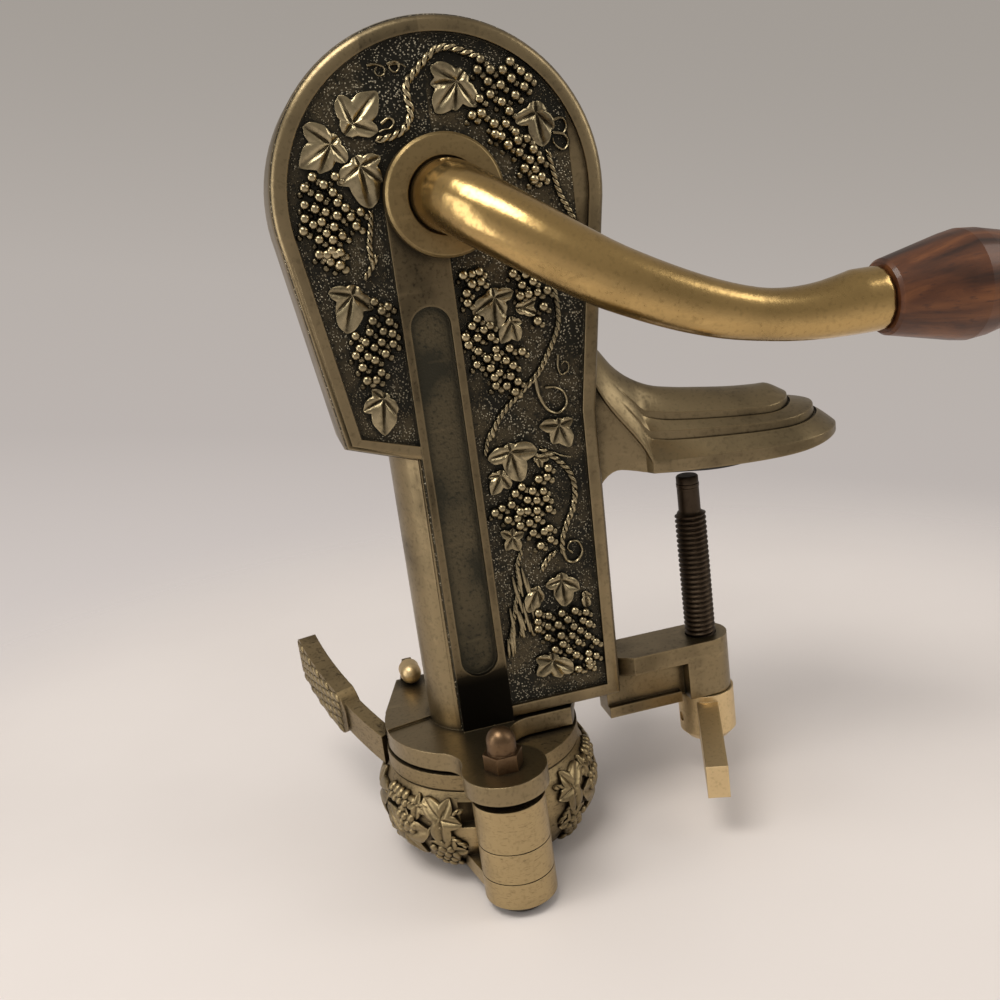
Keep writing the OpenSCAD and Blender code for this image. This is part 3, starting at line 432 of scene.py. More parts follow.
def new_grid(name, across, along):
    """A flat grid one metre wide, to be wrapped into a skin."""
    bpy.ops.object.select_all(action="DESELECT")
    bpy.ops.mesh.primitive_grid_add(x_subdivisions=across, y_subdivisions=along, size=1)
    made = bpy.context.object
    made.name = name
    return made


# Heights of crest, lip and underside, and half the width, by how far right they lie
crest = [(30, -28), (33.6, -34), (37, -41), (42, -48.8), (45.4, -53.5), (50, -57.5), (56, -60.6),
    (63, -62.3), (70, -63.5), (80, -65), (87, -65.7), (93, -66), (99.5, -65.8), (105, -65), (113, -64)]
lip = [(30, -42), (34.8, -51.5), (39.8, -61.6), (46.1, -71), (48.8, -75.6), (50.6, -80), (53, -80.4),
    (90, -80.4), (100, -80), (108, -79.6), (113, -79.5)]
under = [(30, -91), (34, -87.5), (37, -83.9), (40.5, -82), (45, -82.6), (50.3, -83.8), (88.4, -83.8),
    (113, -81)]
half_width = [(30, 9), (40, 9.8), (50.3, 12.7), (60, 15.3), (70, 17.7), (80, 19.6), (87, 20.4), (92, 20.5)]
# Shares of the way from lip to crest at which a terrace ends or its groove lies
terrace_1, terrace_2, edge_fall, step_high = 0.241, 0.4465, 0.9, 0.8
groove_shares, groove_depth = (0.216, 0.236, 0.421, 0.441), 0.75
crown_shares = sorted([0.01, 0.06, 0.12, 0.17, 0.21, 0.246, 0.29, 0.34, 0.38, 0.415, 0.452, 0.5, 0.56, 0.62,
    0.7, 0.78, 0.86, 0.93, 1.0, *groove_shares])
# Rings of the skin, from the underside's middle out to the lip and back up to the crest
skin_rings = [("under", 1.0), ("under", 0.5), ("under", 0.03), ("under", 0.0), ("web", 0.0), ("lip", 0.0),
    ("top", 0.0), *[("top", share) for share in crown_shares]]
nose_x, nose_r, root_x = 91.9, 20.5, 31.0
throat_x, throat_length, throat_inset = 50.3, 0.8, 0.14
web_drop, lip_drop, terrace_x, terrace_fade = 1.5, 1.2, 44, 12
nose_back = [(0, 0), (terrace_1, 1.4), (terrace_2, 5), (1, 1)]
nose_lift = [(0, 0), (terrace_1, 0.8), (terrace_2, 1.6), (1, 0)]
side_steps, nose_steps = 44, 28
all_steps = 2 * side_steps + nose_steps
upper_jaw = new_grid("upper_table_jaw", all_steps, len(skin_rings) - 1)
for point in upper_jaw.data.vertices:
    step = round((point.co.x + 0.5) * all_steps)
    kind, share = skin_rings[round((point.co.y + 0.5) * (len(skin_rings) - 1))]
    round_nose = side_steps <= step <= side_steps + nose_steps
    end_x = nose_x - fair(nose_back, share if kind == "top" else 5 * share / 12)
    if round_nose:
        turn = math.pi * (step - side_steps) / nose_steps
        x, y = end_x + nose_r * (1 - share) * math.sin(turn), -nose_r * (1 - share) * math.cos(turn)
    else:
        hand = -1 if step < side_steps else 1
        back = step if hand < 0 else all_steps - step
        x = root_x + (end_x - root_x) * back / side_steps
        y = hand * fair(half_width, x) * (1 - share)
    if kind in ("under", "web") and share < 0.1:
        y *= 1 - throat_inset * max(0.0, min(1.0, (throat_x - x) / throat_length))
    if kind == "under":
        z = fair(under, x)
    elif kind in ("web", "lip"):
        z = fair(lip, x) - (web_drop if kind == "web" else lip_drop)
    else:
        crown = 1 - (1 - share) ** 1.6
        if share < terrace_1:
            rise = -edge_fall * share / terrace_1
        elif share < terrace_2:
            rise = step_high * (1 - 2 * (share - terrace_1) / (terrace_2 - terrace_1))
        else:
            rise = step_high * (1 - share) / (1 - terrace_2)
        rise -= groove_depth if share in groove_shares else 0.0
        z = fair(lip, x) * (1 - crown) + fair(crest, x) * crown
        z += rise * max(0.0, min(1.0, (x - terrace_x) / terrace_fade))
        if round_nose:
            z += fair(nose_lift, share) * math.sin(turn) ** 2
    point.co = spot(x, screw_y + y, z)
join_points(upper_jaw, 0.000004, outward=True)


def close_holes(piece, low, high):
    """Fills the open edges whose ends lie between two corners."""
    used = {}
    for face in piece.data.polygons:
        for key in face.edge_keys:
            used[key] = used.get(key, 0) + 1
    inside = [all(low[axis] <= point.co[axis] <= high[axis] for axis in range(3))
        for point in piece.data.vertices]
    edit(piece, "DESELECT")
    bpy.ops.mesh.select_mode(type="EDGE")
    bpy.ops.object.mode_set(mode="OBJECT")
    for edge in piece.data.edges:
        edge.select = used.get(edge.key, 0) == 1 and all(inside[end] for end in edge.vertices)
    bpy.ops.object.mode_set(mode="EDIT")
    bpy.ops.mesh.fill()
    bpy.ops.mesh.select_mode(type="VERT")
    bpy.ops.object.mode_set(mode="OBJECT")


close_holes(upper_jaw, (-1, -1, -1), (1, 1, 1))
join_points(upper_jaw, 0.000002, outward=True)
smooth(upper_jaw, 24)
coat(cast.material, upper_jaw)
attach(upper_jaw, "opener_body")

# The housing is cut back to the block's side and closed there
slope_below, slope_above, clear = 0.0206, 0.147, 0.12
edit(housing, "DESELECT")
bpy.ops.mesh.select_mode(type="FACE")
bpy.ops.object.mode_set(mode="OBJECT")
beyond = set()
for point in housing.data.vertices:
    x, _, z = measure(point.co)
    block_side = block_x + (z - shoulder_z) * (slope_below if z < shoulder_z else slope_above)
    if x > block_side + clear and -95 < z < -28:
        beyond.add(point.index)
for face in housing.data.polygons:
    face.select = not beyond.isdisjoint(face.vertices)
bpy.ops.object.mode_set(mode="EDIT")
bpy.ops.mesh.delete(type="FACE")
bpy.ops.mesh.select_mode(type="VERT")
bpy.ops.object.mode_set(mode="OBJECT")
close_holes(housing, spot(30, -20, -98), spot(46, 50, -20))
join_points(housing, 0.00001)
# The slits that milling left at the strip's corners are closed too
edit(housing)
bpy.ops.mesh.fill_holes(sides=8)
bpy.ops.object.mode_set(mode="OBJECT")
join_points(housing, 0.000001, outward=True)
smooth(housing, 32)


# Grapevine on the field: traditional cast ornament of leaves, bunches, twisted vines and tendrils that
# stands up from the punched ground. It is part of the casting, and its high places are rubbed bright.
def on_field(x, z, high):
    return spot(x, ground - high, z)


def vine_leaf(base, tips, lay=on_field):
    """One lobed leaf as a closed skin: a fan of rings from its middle out to its edge and back under.
    lay puts a place and a height of the flat pattern on the casting."""
    middle_share, lobe_fall, teeth, tooth_high = 0.42, 0.72, 13, 0.04
    swell_width, cut_width, cut_deep, rib_gap, rib_deep = 0.9, 0.22, 0.3, 1.5, 0.13
    base, tips = Vector(base), [Vector(tip) for tip in tips]
    middle = base + middle_share * (sum(tips, Vector((0, 0))) / len(tips) - base)
    edge_ring, back_rings = 12, ((1.0, 0.15), (0.97, -0.15), (0.5, -0.2), (0.0, -0.2))
    rings = edge_ring + len(back_rings)
    leaf = new_grid("leaf", 96, rings)
    lobes = sorted((math.atan2((tip - middle).y, (tip - middle).x), (tip - middle).length) for tip in tips)
    shortest = min(length for _, length in lobes)
    veins = [(middle, tip) for tip in tips] + [(middle, base)]
    for point in leaf.data.vertices:
        turn = (point.co.x + 0.5) * 2 * math.pi - math.pi
        ring = round((point.co.y + 0.5) * rings)
        # The outline swells to a lobe at each tip, and its edge is finely toothed
        reach = 0.5 * shortest
        for way, length in lobes:
            off = abs((turn - way + math.pi) % (2 * math.pi) - math.pi)
            reach = max(reach, length * (1.08 - lobe_fall * off ** 1.1))
        reach *= 1 - tooth_high * abs((turn * teeth / math.pi) % 2 - 1)
        share, high = (ring / edge_ring, 0.0) if ring <= edge_ring else back_rings[ring - edge_ring - 1]
        at = middle + share * reach * Vector((math.cos(turn), math.sin(turn)))
        # The leaf is raised between its veins, which are cut in, and finely ribbed
        if ring <= edge_ring:
            off_vein = min(away(at, *vein) for vein in veins)
            tip = min(tips, key=lambda tip: away(at, middle, tip))
            along = (at - middle).dot((tip - middle).normalized())
            side = abs((at - middle).cross((tip - middle).normalized()))
            rib = max(0.0, math.cos((along - side * 0.9) * 2 * math.pi / rib_gap)) ** 6
            high = 0.75 + 0.85 * (1 - math.exp(-(off_vein / swell_width) ** 2)) * (1 - share ** 3 * 0.5)
            high += 0.35 * (1 - share ** 2) - cut_deep * math.exp(-(off_vein / cut_width) ** 2)
            high -= rib_deep * rib * min(1.0, off_vein / 0.4) * (1 - share * 0.6)
        point.co = lay(at.x, at.y, high)
    join_points(leaf, 0.000004, outward=True)
    smooth(leaf, 60)
    return leaf


def one_piece(name, parts):
    """Joins copies into a single piece."""
    bpy.ops.object.select_all(action="DESELECT")
    for part in parts:
        part.select_set(True)
    bpy.context.view_layer.objects.active = parts[0]
    bpy.ops.object.join()
    parts[0].name = name
    return parts[0]


def copy_of(piece):
    made = bpy.data.objects.new(piece.name, piece.data.copy())
    bpy.context.scene.collection.objects.link(made)
    return made


def seeded(number):
    """A repeatable value from 0 to 1 for each number, for the small unevenness of hand work."""
    return math.sin(number * 12.9898 + 4.1) * 43758.5453 % 1.0


leaves = (
    ((-22.8, 17.2), ((-22.3, 26.6), (-13.4, 26.4), (-14.3, 17.5))),
    ((-23.8, 17.5), ((-31.9, 20.7), (-34.3, 11.5), (-30, 9.5), (-23.1, 11.2))),
    ((-20.9, 12.7), ((-14.7, 11.2), (-15.1, 5.6), (-18.8, -0.4), (-25.8, 6.1))),
    ((9.9, 29.2), ((1.8, 31.2), (1.2, 27.1), (1.3, 20.5), (6.2, 20.5), (11.5, 20.9))),
    ((27.4, 20.8), ((21.7, 15.7), (28.2, 9.1), (31.3, 13.1))),
    ((-25.5, -18.8), ((-32.7, -20), (-31.4, -25), (-30, -30.5), (-22.6, -25.4))),
    ((-22.1, -46.9), ((-25.8, -46.5), (-28.8, -51.5), (-24.4, -58.4), (-20.5, -53.7))),
    ((9.8, -24.6), ((15.2, -26.8), (4.1, -30.8), (9.3, -35.9), (12.3, -32.1))),
    ((13.8, -31.8), ((10.6, -39.5), (15, -39.7), (16.6, -35.1))),
    ((14.7, -31), ((20.8, -33.4), (20.8, -30.1))),
    ((23.8, -62.9), ((18.3, -64), (21.5, -69.6), (26, -70.9), (27.6, -63.8))),
    ((8.8, -66.9), ((2.7, -70.8), (7.3, -74.3), (10.8, -78.2), (16.3, -70.4))),
    ((6.3, -73.6), ((2.1, -75.7), (2.5, -80.6), (7.6, -79.7))),
    ((15.1, -71.8), ((19.7, -73.2), (17.3, -75.6))),
    ((19.3, -106.5), ((14.3, -110.5), (16.8, -113.3), (19.4, -117.3), (23.8, -113.1))),
    ((12.6, -108.5), ((9.2, -110.8), (8.3, -116.9), (12.4, -114.6))),
    ((6.3, -93.6), ((3.4, -91.9), (6.7, -91.4), (9.7, -93.4), (7.9, -98.1), (4.2, -97.3))),
    ((13.7, -131.4), ((8.7, -132), (8.5, -136.9), (15.4, -138.9), (19.2, -137.7))),
    ((24.9, -113.4), ((27.4, -116.5), (25.6, -119.3))),
)
vine_leaves = one_piece("vine_leaves", [vine_leaf(base, tips) for base, tips in leaves])

# Grapes: one low ball, its back cut away, copied three times to each place in the bunches
bpy.ops.object.select_all(action="DESELECT")
bpy.ops.mesh.primitive_uv_sphere_add(segments=10, ring_count=8, radius=1, rotation=(math.pi / 2, 0, 0))
grape = bpy.context.object
grape.name = "grape"
bpy.ops.object.transform_apply()
bpy.ops.object.mode_set(mode="EDIT")
bpy.ops.mesh.bisect(plane_co=(0, 0.75, 0), plane_no=(0, 1, 0), use_fill=True, clear_outer=True)
bpy.ops.object.mode_set(mode="OBJECT")
smooth(grape, 60)
bunches = (
    ((14.3, 31.5), (13.2, 29.1), (16.4, 28.8), (19.7, 28.4), (21.9, 30.2), (24.3, 27.7), (15.5, 26.1),
        (18.7, 25), (21.6, 26.2), (26.1, 26), (15.7, 23), (18.4, 20.9), (22.2, 22.1), (20.1, 18.5),
        (12.8, 22.3), (24.7, 23.9)),
    ((10.3, 18.5), (12.8, 18.7), (15.8, 15.9), (18.8, 15.5), (17.3, 12.6), (21.1, 13.2), (23.9, 11.3),
        (18.7, 10.3), (21.5, 8.2), (24.1, 6), (26.9, 5.7), (22.4, 4.1), (25.2, 3.5), (24.6, 1), (26.7, 1.5),
        (25.3, 8.5), (21.4, 11.1), (15.7, 13.3)),
    ((-32.2, 8.5), (-29.7, 6.4), (-34.5, 6.2), (-27.7, 4.3), (-31.2, 3.5), (-27, 1.7), (-35.2, 2.2),
        (-32.8, 0.9), (-30.3, -0.2), (-27.6, -1.4), (-24.2, -2.1), (-21.6, -1.3), (-35.7, -1.1),
        (-33.9, -2.8), (-31.7, -2.4), (-28.8, -4), (-23.2, -4.5), (-36.5, -4), (-33, -6.6), (-29.6, -7.1),
        (-27.1, -6.4), (-33.6, -10.2), (-30.3, -9.6), (-28.3, -10.4), (-31, -12.4), (-28.8, -13.5),
        (-26.5, 8), (-30.9, -5.3), (-25.2, 0.2)),
    ((-31.1, -12.3), (-29.1, -13.7), (-31.7, -10.5), (-29.5, -10.8)),
    ((-21.7, -23.9), (-18.4, -25.6), (-20.2, -26.4), (-22.9, -28.6), (-18.6, -29.5), (-27.9, -31.8),
        (-24.1, -31.4), (-20.6, -31.7), (-18.4, -32.6), (-27.3, -35.1), (-23.6, -35.5), (-18.6, -35.3),
        (-21, -37.5), (-28.7, -36.8), (-23.9, -38.7), (-27.4, -40.1), (-22.8, -42.2), (-26.8, -43.7),
        (-24.4, -43.9), (-25.6, -33.8), (-21.5, -34.4), (-25.6, -37.5)),
    ((2.4, -20.5), (4.8, -20.6), (6.8, -20.2), (4.4, -23.1), (2.6, -27.8), (4.6, -32.3), (2.9, -34),
        (7.8, -34.5), (0.8, -36.5), (3.9, -37.2), (7.6, -37.5), (1.3, -38.7), (3.7, -40.8), (8.6, -41.1),
        (12.3, -41.4), (15.6, -42.7), (5.8, -43.1), (8.6, -43.2), (10.9, -44.4), (2.9, -44.3), (6.5, -45.8),
        (12.7, -46.1), (8.7, -47.4), (7.1, -48.4), (11.6, -48.9), (10.2, -51.3), (13.4, -50.6),
        (7.3, -50.8), (12.3, -53.2), (5.9, -35.4), (2.7, -25.2), (6.9, -22.8)),
    ((15.8, -22), (17.9, -25.3), (20.9, -24.8), (17, -28), (19.3, -27.9), (21.8, -27.8), (23.1, -31.8),
        (20.9, -35.3), (24.6, -27.7), (17.1, -20), (19.2, -22.7)),
    ((18.9, -75.9), (15.8, -78.6), (18.3, -78.5), (10.8, -80), (8.7, -81.5), (13.6, -81.6), (16.7, -82.2),
        (11.9, -83.9), (14.5, -84.5), (17.3, -84.5), (7.3, -84.5), (4.5, -85), (11.5, -87.1), (14.2, -87.4),
        (17.7, -87.6), (2.3, -85.9), (5.7, -88.5), (8.5, -88.7), (11.6, -90.5), (14.1, -89.9), (8.9, -90.8),
        (12.4, -93.7), (15.6, -94), (17.1, -96.5), (14, -97.8), (17.3, -93.3), (9.4, -86.8)),
    ((10.9, -117.7), (13.8, -119.2), (17.7, -119.2), (21.7, -119.3), (24.9, -120.5), (10.4, -120.2),
        (16.2, -122.4), (19.2, -121.4), (23.8, -122.9), (25.4, -124.1), (10.3, -122.5), (12.8, -125.6),
        (16.7, -125.9), (20, -126.7), (22.6, -125.6), (24.7, -127.8), (21.7, -129.1), (27, -130.3),
        (14.5, -129.8), (18.6, -131.1), (16.9, -128.6), (20.6, -133), (24.3, -133.3), (26.5, -134.7),
        (24.1, -135.6), (20.7, -137.5), (24.2, -137.4), (13.2, -122.3), (20.8, -124)),
)
# Layers of a bunch: shift right and up, size of the grapes and how far they stand out
layers = ((0, 0, 1.35, 0.75), (1.45, -1.35, 1.15, 0.2), (-1.25, -1.6, 1.0, 0.0))
grapes = []
for bunch, places in enumerate(bunches):
    for number, (x, z) in enumerate(places):
        key = bunch * 50 + number
        for layer, (dx, dz, size, rise) in enumerate(layers):
            made = copy_of(grape)
            size += 0.16 * (seeded(key + layer * 7) - 0.5)
            rise += 0.5 * seeded(key * 3 + 1) * (1 - layer)
            for point in made.data.vertices:
                point.co = on_field(x + dx + point.co.x * size, z + dz + point.co.z * size,
                    rise - point.co.y * size)
            grapes.append(made)
bunch_grapes = one_piece("bunch_grapes", grapes)


# Vines: two wires twisted on each other in the pattern that the mould was taken from, thin at both ends
def along_curve(points, gap):
    """Evenly spaced places on a smooth line through the points, each with its direction."""
    points = [Vector(point) for point in points]
    points = [2 * points[0] - points[1]] + points + [2 * points[-1] - points[-2]]
    fine = []
    for a, b, c, d in zip(points, points[1:], points[2:], points[3:]):
        for step in range(24):
            t = step / 24
            fine.append(0.5 * (2 * b + (c - a) * t + (2 * a - 5 * b + 4 * c - d) * t * t
                + (3 * b - a - 3 * c + d) * t ** 3))
    fine.append(points[-2])
    places, left = [], 0.0
    for a, b in zip(fine, fine[1:]):
        length = (b - a).length
        while left <= length and length > 0:
            places.append((a + (b - a) * left / length, (b - a).normalized()))
            left += gap
        left -= length
    return places


def twisted(line, gap, lead, wound_r):
    """Two strands wound round a line: lists of places with how far out they stand, -1 to 1."""
    for start in (0, math.pi):
        turns = [number * gap * 2 * math.pi / lead + start for number in range(len(line))]
        yield [(at + Vector((way.y, -way.x)) * math.cos(turn) * wound_r, math.sin(turn))
            for turn, (at, way) in zip(turns, line)]


def tube(name, paths):
    """Closed round tubes, each path a list of places and radii in millimetres."""
    wire = bpy.data.curves.new(name, "CURVE")
    wire.dimensions = "3D"
    wire.bevel_depth = 0.001
    wire.bevel_resolution = 1
    wire.use_fill_caps = True
    for path in paths:
        spline = wire.splines.new("POLY")
        spline.points.add(len(path) - 1)
        for point, (place, radius) in zip(spline.points, path):
            point.co = (*spot(*place), 1)
            point.radius = radius
    made = bpy.data.objects.new(name, wire)
    bpy.context.scene.collection.objects.link(made)
    pick(made)
    bpy.ops.object.convert(target="MESH")
    join_points(made, 0.000004, outward=True)
    smooth(made, 60)
    return made


vines = (
    (0.75, ((14.4, 32.2), (10.8, 33.6), (6.7, 35.2), (3.4, 35), (0.5, 33.1), (-2.6, 30.4), (-5.2, 27.7),
        (-5.5, 24.3), (-5.2, 20.7), (-7.4, 17.2), (-10.8, 15.8), (-15.2, 15.3))),
    (0.6, ((-18.9, -1.2), (-19.5, -4.8), (-20.6, -9.9), (-20.6, -14.7))),
    (0.6, ((-19.1, -12.2), (-20.5, -14.7), (-23.3, -18.2))),
    (0.6, ((29.2, 8.1), (30, 2.7), (31.3, -3.4), (34.1, -9.7), (35.3, -14.2))),
    (0.6, ((26.6, -27.1), (27.1, -31.9), (26.6, -37.6), (23.6, -43.5), (19.3, -49.6), (14.2, -53.7),
        (9.1, -57.8), (5.8, -61.8), (4, -65.5))),
    (0.65, ((17.4, -70.1), (21.8, -74.1), (25.1, -78.4), (26.1, -83.5), (25, -88.7), (22.5, -93.2),
        (20.6, -97.8), (20.4, -101.7))),
    (0.6, ((18.6, -100.5), (15.6, -102.6), (13.5, -105.8))),
    (0.5, ((8.7, -98.1), (6.8, -102.7), (6.5, -108.8), (4.8, -114.1), (3.2, -120), (1.1, -127))),
    (0.45, ((8.2, -117.7), (6.1, -120.7), (4.8, -124.4))),
    (0.5, ((4.9, -62.6), (3.2, -65.4), (1.8, -69.9))),
)
vine_gap, end_steps = 0.3, 5
strands = []
for thick, points in vines:
    line = along_curve(points, vine_gap)
    for strand in twisted(line, vine_gap, thick * 6.4, thick * 0.72):
        path = []
        for number, (at, out) in enumerate(strand):
            end = min(1.0, (number + 1.5) / end_steps, (len(line) - number + 0.5) / end_steps)
            path.append(((at.x, ground - thick * 0.9 - out * thick * 0.6, at.y), thick * 0.82 * end))
        strands.append(path)
twisted_vines = tube("twisted_vines", strands)

# Tendrils are single wires that curl and thin out, and blades are short and taper to both ends
tendrils = (
    (0.3, ((-14.4, 33), (-12.3, 33.1), (-10.3, 32.2), (-10.3, 30.7), (-11.7, 30.3), (-12.6, 31.3),
        (-11.9, 32.6))),
    (0.3, ((-9.4, 32.8), (-7, 33.2), (-6.4, 31.8), (-7.4, 30.8), (-8.6, 31.4), (-8.7, 32.5), (-6, 32.5),
        (-4.6, 31.6))),
    (0.35, ((-13, 19.1), (-10.9, 20.3), (-9.7, 19.2), (-10.8, 17.8), (-12.4, 17.7), (-13.8, 17.2))),
    (0.35, ((31.5, 15.1), (34.1, 15.4), (35.1, 13.2), (34, 11.7), (32, 12.2))),
    (0.35, ((31.2, 12.1), (34.2, 11.2), (35.1, 9), (33.5, 7.6), (31.4, 9.1), (31, 10.8))),
    (0.28, ((25.7, -45.3), (25.3, -48.7), (26.1, -50.9), (28, -50.1), (28.4, -48.4), (27.3, -47.4),
        (26.1, -48.3))),
    (0.45, ((18.4, -50.5), (19.1, -55.6), (21.1, -59.9), (24.1, -61.2), (26.6, -59.1), (26.2, -56),
        (23.9, -54.1), (20.9, -53.6))),
    (0.42, ((20.3, -100), (21.5, -104.1), (24.2, -104.7), (26.2, -102.3), (25.4, -99.3), (23.2, -98.6),
        (21.9, -100.3), (23.4, -102.3))),
    (0.3, ((17.8, -71.7), (20.9, -72), (23, -73.2), (26.1, -74.3))),
)
tendril_gap, blade_gap, blade_r = 0.35, 0.7, 0.6
curls = []
for thick, points in tendrils:
    line = along_curve(points, tendril_gap)
    curls.append([((at.x, ground - thick * 0.7 - 0.3, at.y), thick * (1.45 - 0.7 * number / len(line)))
        for number, (at, _) in enumerate(line)])
blades = (
    ((6.4, -104.3), (7.2, -112.6)), ((5.5, -108.5), (6.5, -117.2)), ((7.8, -103.4), (8.8, -111.6)),
    ((4.5, -113.2), (6.2, -124.7)), ((6.9, -113.9), (7.8, -123)), ((3.2, -118.2), (2.7, -129.1)),
    ((5.2, -120.2), (5.9, -124.8)), ((7.4, -117.2), (7.8, -122.4)), ((1.1, -123.9), (0.8, -129.9)),
    ((2.3, -121.8), (2, -129.8)), ((7.9, -118.5), (8.7, -124.5)), ((4.9, -105.5), (5.8, -113.5)),
    ((5.4, -116.1), (6.7, -122.8)), ((2.9, -114.8), (3.5, -123.6)), ((8.9, -106.7), (9.7, -114.3)),
    ((9.3, -113.1), (9.6, -119.8)), ((6.4, -101.6), (7.2, -108.7)),
)
for number, (top, foot) in enumerate(blades):
    line = along_curve([top, foot], blade_gap)
    curls.append([((at.x, ground - 0.45 - 0.25 * seeded(number), at.y),
        blade_r * math.sin(math.pi * (0.08 + 0.84 * step / len(line))) ** 0.7)
        for step, (at, _) in enumerate(line)])
vine_tendrils = tube("vine_tendrils", curls)

raised = aged_brass("relief_brass", (0.50, 0.415, 0.25), (0.04, 0.032, 0.02), rub=1.2, grime=1.2, rough=0.17,
    base=0.22, crease=0.0028, edge_r=0.0002)
low = raised.places()[1].rise(-0.4, 1.1)
settle(raised, (raised.dirt + low * 0.6).smaller(1))
for piece in (vine_leaves, bunch_grapes, twisted_vines, vine_tendrils):
    coat(raised.material, piece)
    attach(piece, "opener_body")


# Bottle jaws: two half rings cast in brass, dull at the back and rubbed bright and scratched on the
# knuckles in front. The same leaves and grapes are cast round the bulge of both, and rows of small
# scales on the thumb end of each handle.
scratched = aged_brass("jaw_brass", (0.43, 0.325, 0.17), (0.055, 0.041, 0.025), base=0.0, rub=1.2)
dull = scratched.places()[1].rise(-17, -12) * 0.42
across_strokes = scratched.here(turn=(0.4, 0.2, 0.6), stretch=(500, 500, 2600))
scratches = scratched.noise(scale=1.0, at=across_strokes)
settle(scratched, (scratched.dirt + dull + scratches.rise(0.6, 0.68) * 0.3).larger(0).smaller(1))
coat(scratched.material, "left_jaw", "right_jaw")

ring_x, ring_y, bulge_z, bulge_r, bulge_middle = -8.0, 14.0, -171.5, 20.0, 11.8
bulge_low, bulge_high, pattern_r = -13.9, 10.6, 30


def round_jaw(hand):
    """Lays the flat pattern on a half ring: x runs round it, z is the height, high stands out from it."""
    def lay(x, z, high, place=spot):
        turn = math.radians(180) + x / pattern_r if hand < 0 else -x / pattern_r
        above = max(bulge_low, min(bulge_high, z - bulge_z))
        wide = bulge_middle + math.sqrt(bulge_r ** 2 - above * above) + high
        return place(ring_x + wide * math.cos(turn), ring_y + wide * math.sin(turn), z)
    return lay


jaw_leaves = (
    ((-4, -170), ((-13, -164.5), (-2, -162.3), (6, -166.5), (0, -178), (-10, -176))),
    ((13, -176), ((6, -169.5), (15, -167), (23, -172), (19, -182), (9, -183))),
    ((27, -168), ((22, -163), (30, -162.5), (33, -169), (27, -176))),
    ((-18, -175), ((-27, -170), (-19, -167), (-12, -180), (-21, -183.5))),
    ((-34, -169), ((-42, -165), (-33, -162.5), (-28, -169), (-35, -178))),
    ((4, -181), ((-4, -179.5), (2, -176.5), (9, -179), (5, -185))),
    ((29, -178), ((23, -176), (30, -173.5), (33.5, -178), (28, -184))),
    ((20, -165), ((15, -165), (20, -162.3), (24, -166), (19, -169.5))),
    ((-8, -182), ((-13, -180), (-8, -177), (-4, -182), (-8, -185))),
    ((-28, -166), ((-32, -164), (-27, -162.3), (-24, -166), (-28, -170))),
)
# Clusters of grapes between the leaves: first place, columns and rows, the steps between them, and
# every second row's shift
clusters = (
    (24, -177.5, 3, 4, 2.5, 2.1, 1.2), (8, -163.5, 4, 2, 2.4, 2.2, 0), (-8, -180.3, 5, 2, 2.5, 2.2, 1.2),
    (-27, -174, 3, 3, 2.4, 2.2, 0), (13, -169.5, 3, 3, 2.3, 2, 1), (-18, -163.5, 3, 3, 2.3, 2, 0),
    (-39, -172, 3, 4, 2.3, 2, 0),
)
jaw_grapes = [(x + column * column_gap + row % 2 * shift, z - row * row_gap)
    for x, z, columns, rows, column_gap, row_gap, shift in clusters
    for column in range(columns) for row in range(rows)]

# The handle's face is part of a large round, and scales cover its thumb end
handle_r, thumb_x, thumb_r, handle_half, handle_end_x = 198.0, 56.5, 6.2, 6.4, -57.2
scale_start, scale_row, scale_column, scale_out = 25.5, 3.9, 3.0, 3.0
handle_turn = Matrix.Rotation(math.radians(13), 4, "X") @ Matrix.Rotation(math.radians(25.8), 4, "Z")
handle = Matrix.Translation((-36, 20, -158.5)) @ handle_turn @ Matrix.Translation((handle_r, 0, 0))
dull_relief = aged_brass("jaw_relief_brass", (0.36, 0.28, 0.15), (0.05, 0.038, 0.023), rub=0.6, grime=1.2,
    rough=0.33, base=0.25, crease=0.003, edge_r=0.0002)
settle(dull_relief)
jaw_vine_gap, jaw_vine_lead, jaw_vine_r = 0.45, 3.6, 0.5
for side, hand in (("left", -1), ("right", 1)):
    lay = round_jaw(hand)
    leafy = one_piece(side + "_jaw_leaves", [vine_leaf(base, tips, lay) for base, tips in jaw_leaves])
    balls = []
    for number, (x, z) in enumerate(jaw_grapes):
        made = copy_of(grape)
        size, rise = 1.3 + 0.2 * seeded(number), 0.5 + 0.5 * seeded(number + 9)
        for point in made.data.vertices:
            point.co = lay(x + point.co.x * size, z + point.co.z * size, rise - point.co.y * size)
        balls.append(made)
    for row in range(10):
        for column in range(5):
            along, high = scale_start + row * scale_row, (column - 2 + row % 2 * 0.5) * scale_column
            if math.hypot(max(0, along - thumb_x), high) > thumb_r or abs(high) > handle_half:
                continue
            made = copy_of(grape)
            for point in made.data.vertices:
                turn = math.pi - (along + point.co.x * 2.5 * (1 - 0.25 * point.co.z)) / handle_r
                wide = handle_r + scale_out - point.co.y * 0.9
                flat = wide * math.cos(turn), wide * math.sin(turn), high + point.co.z * 1.55
                place = handle @ Vector(flat)
                place.x = max(place.x, handle_end_x)
                if hand > 0:
                    place.x = 2 * ring_x - place.x
                point.co = spot(*place)
            balls.append(made)
    jaw_strands = []
    for swing in (0, 2.6):
        line = along_curve([(-44 + 6 * step, -171 + 6 * math.sin(step * 1.1 + swing)) for step in range(14)],
            jaw_vine_gap)
        for strand in twisted(line, jaw_vine_gap, jaw_vine_lead, 0.42):
            jaw_strands.append([(lay(at.x, at.y, 0.45 + 0.35 * out, lambda *place: place), jaw_vine_r)
                for at, out in strand])
    jaw_vines = tube(side + "_jaw_vines", jaw_strands)
    beads = one_piece(side + "_jaw_beads", balls)
    join_points(beads, 0.000002, outward=True)
    for piece in (leafy, beads, jaw_vines):
        coat(dull_relief.material, piece)
        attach(piece, side + "_bottle_jaw")
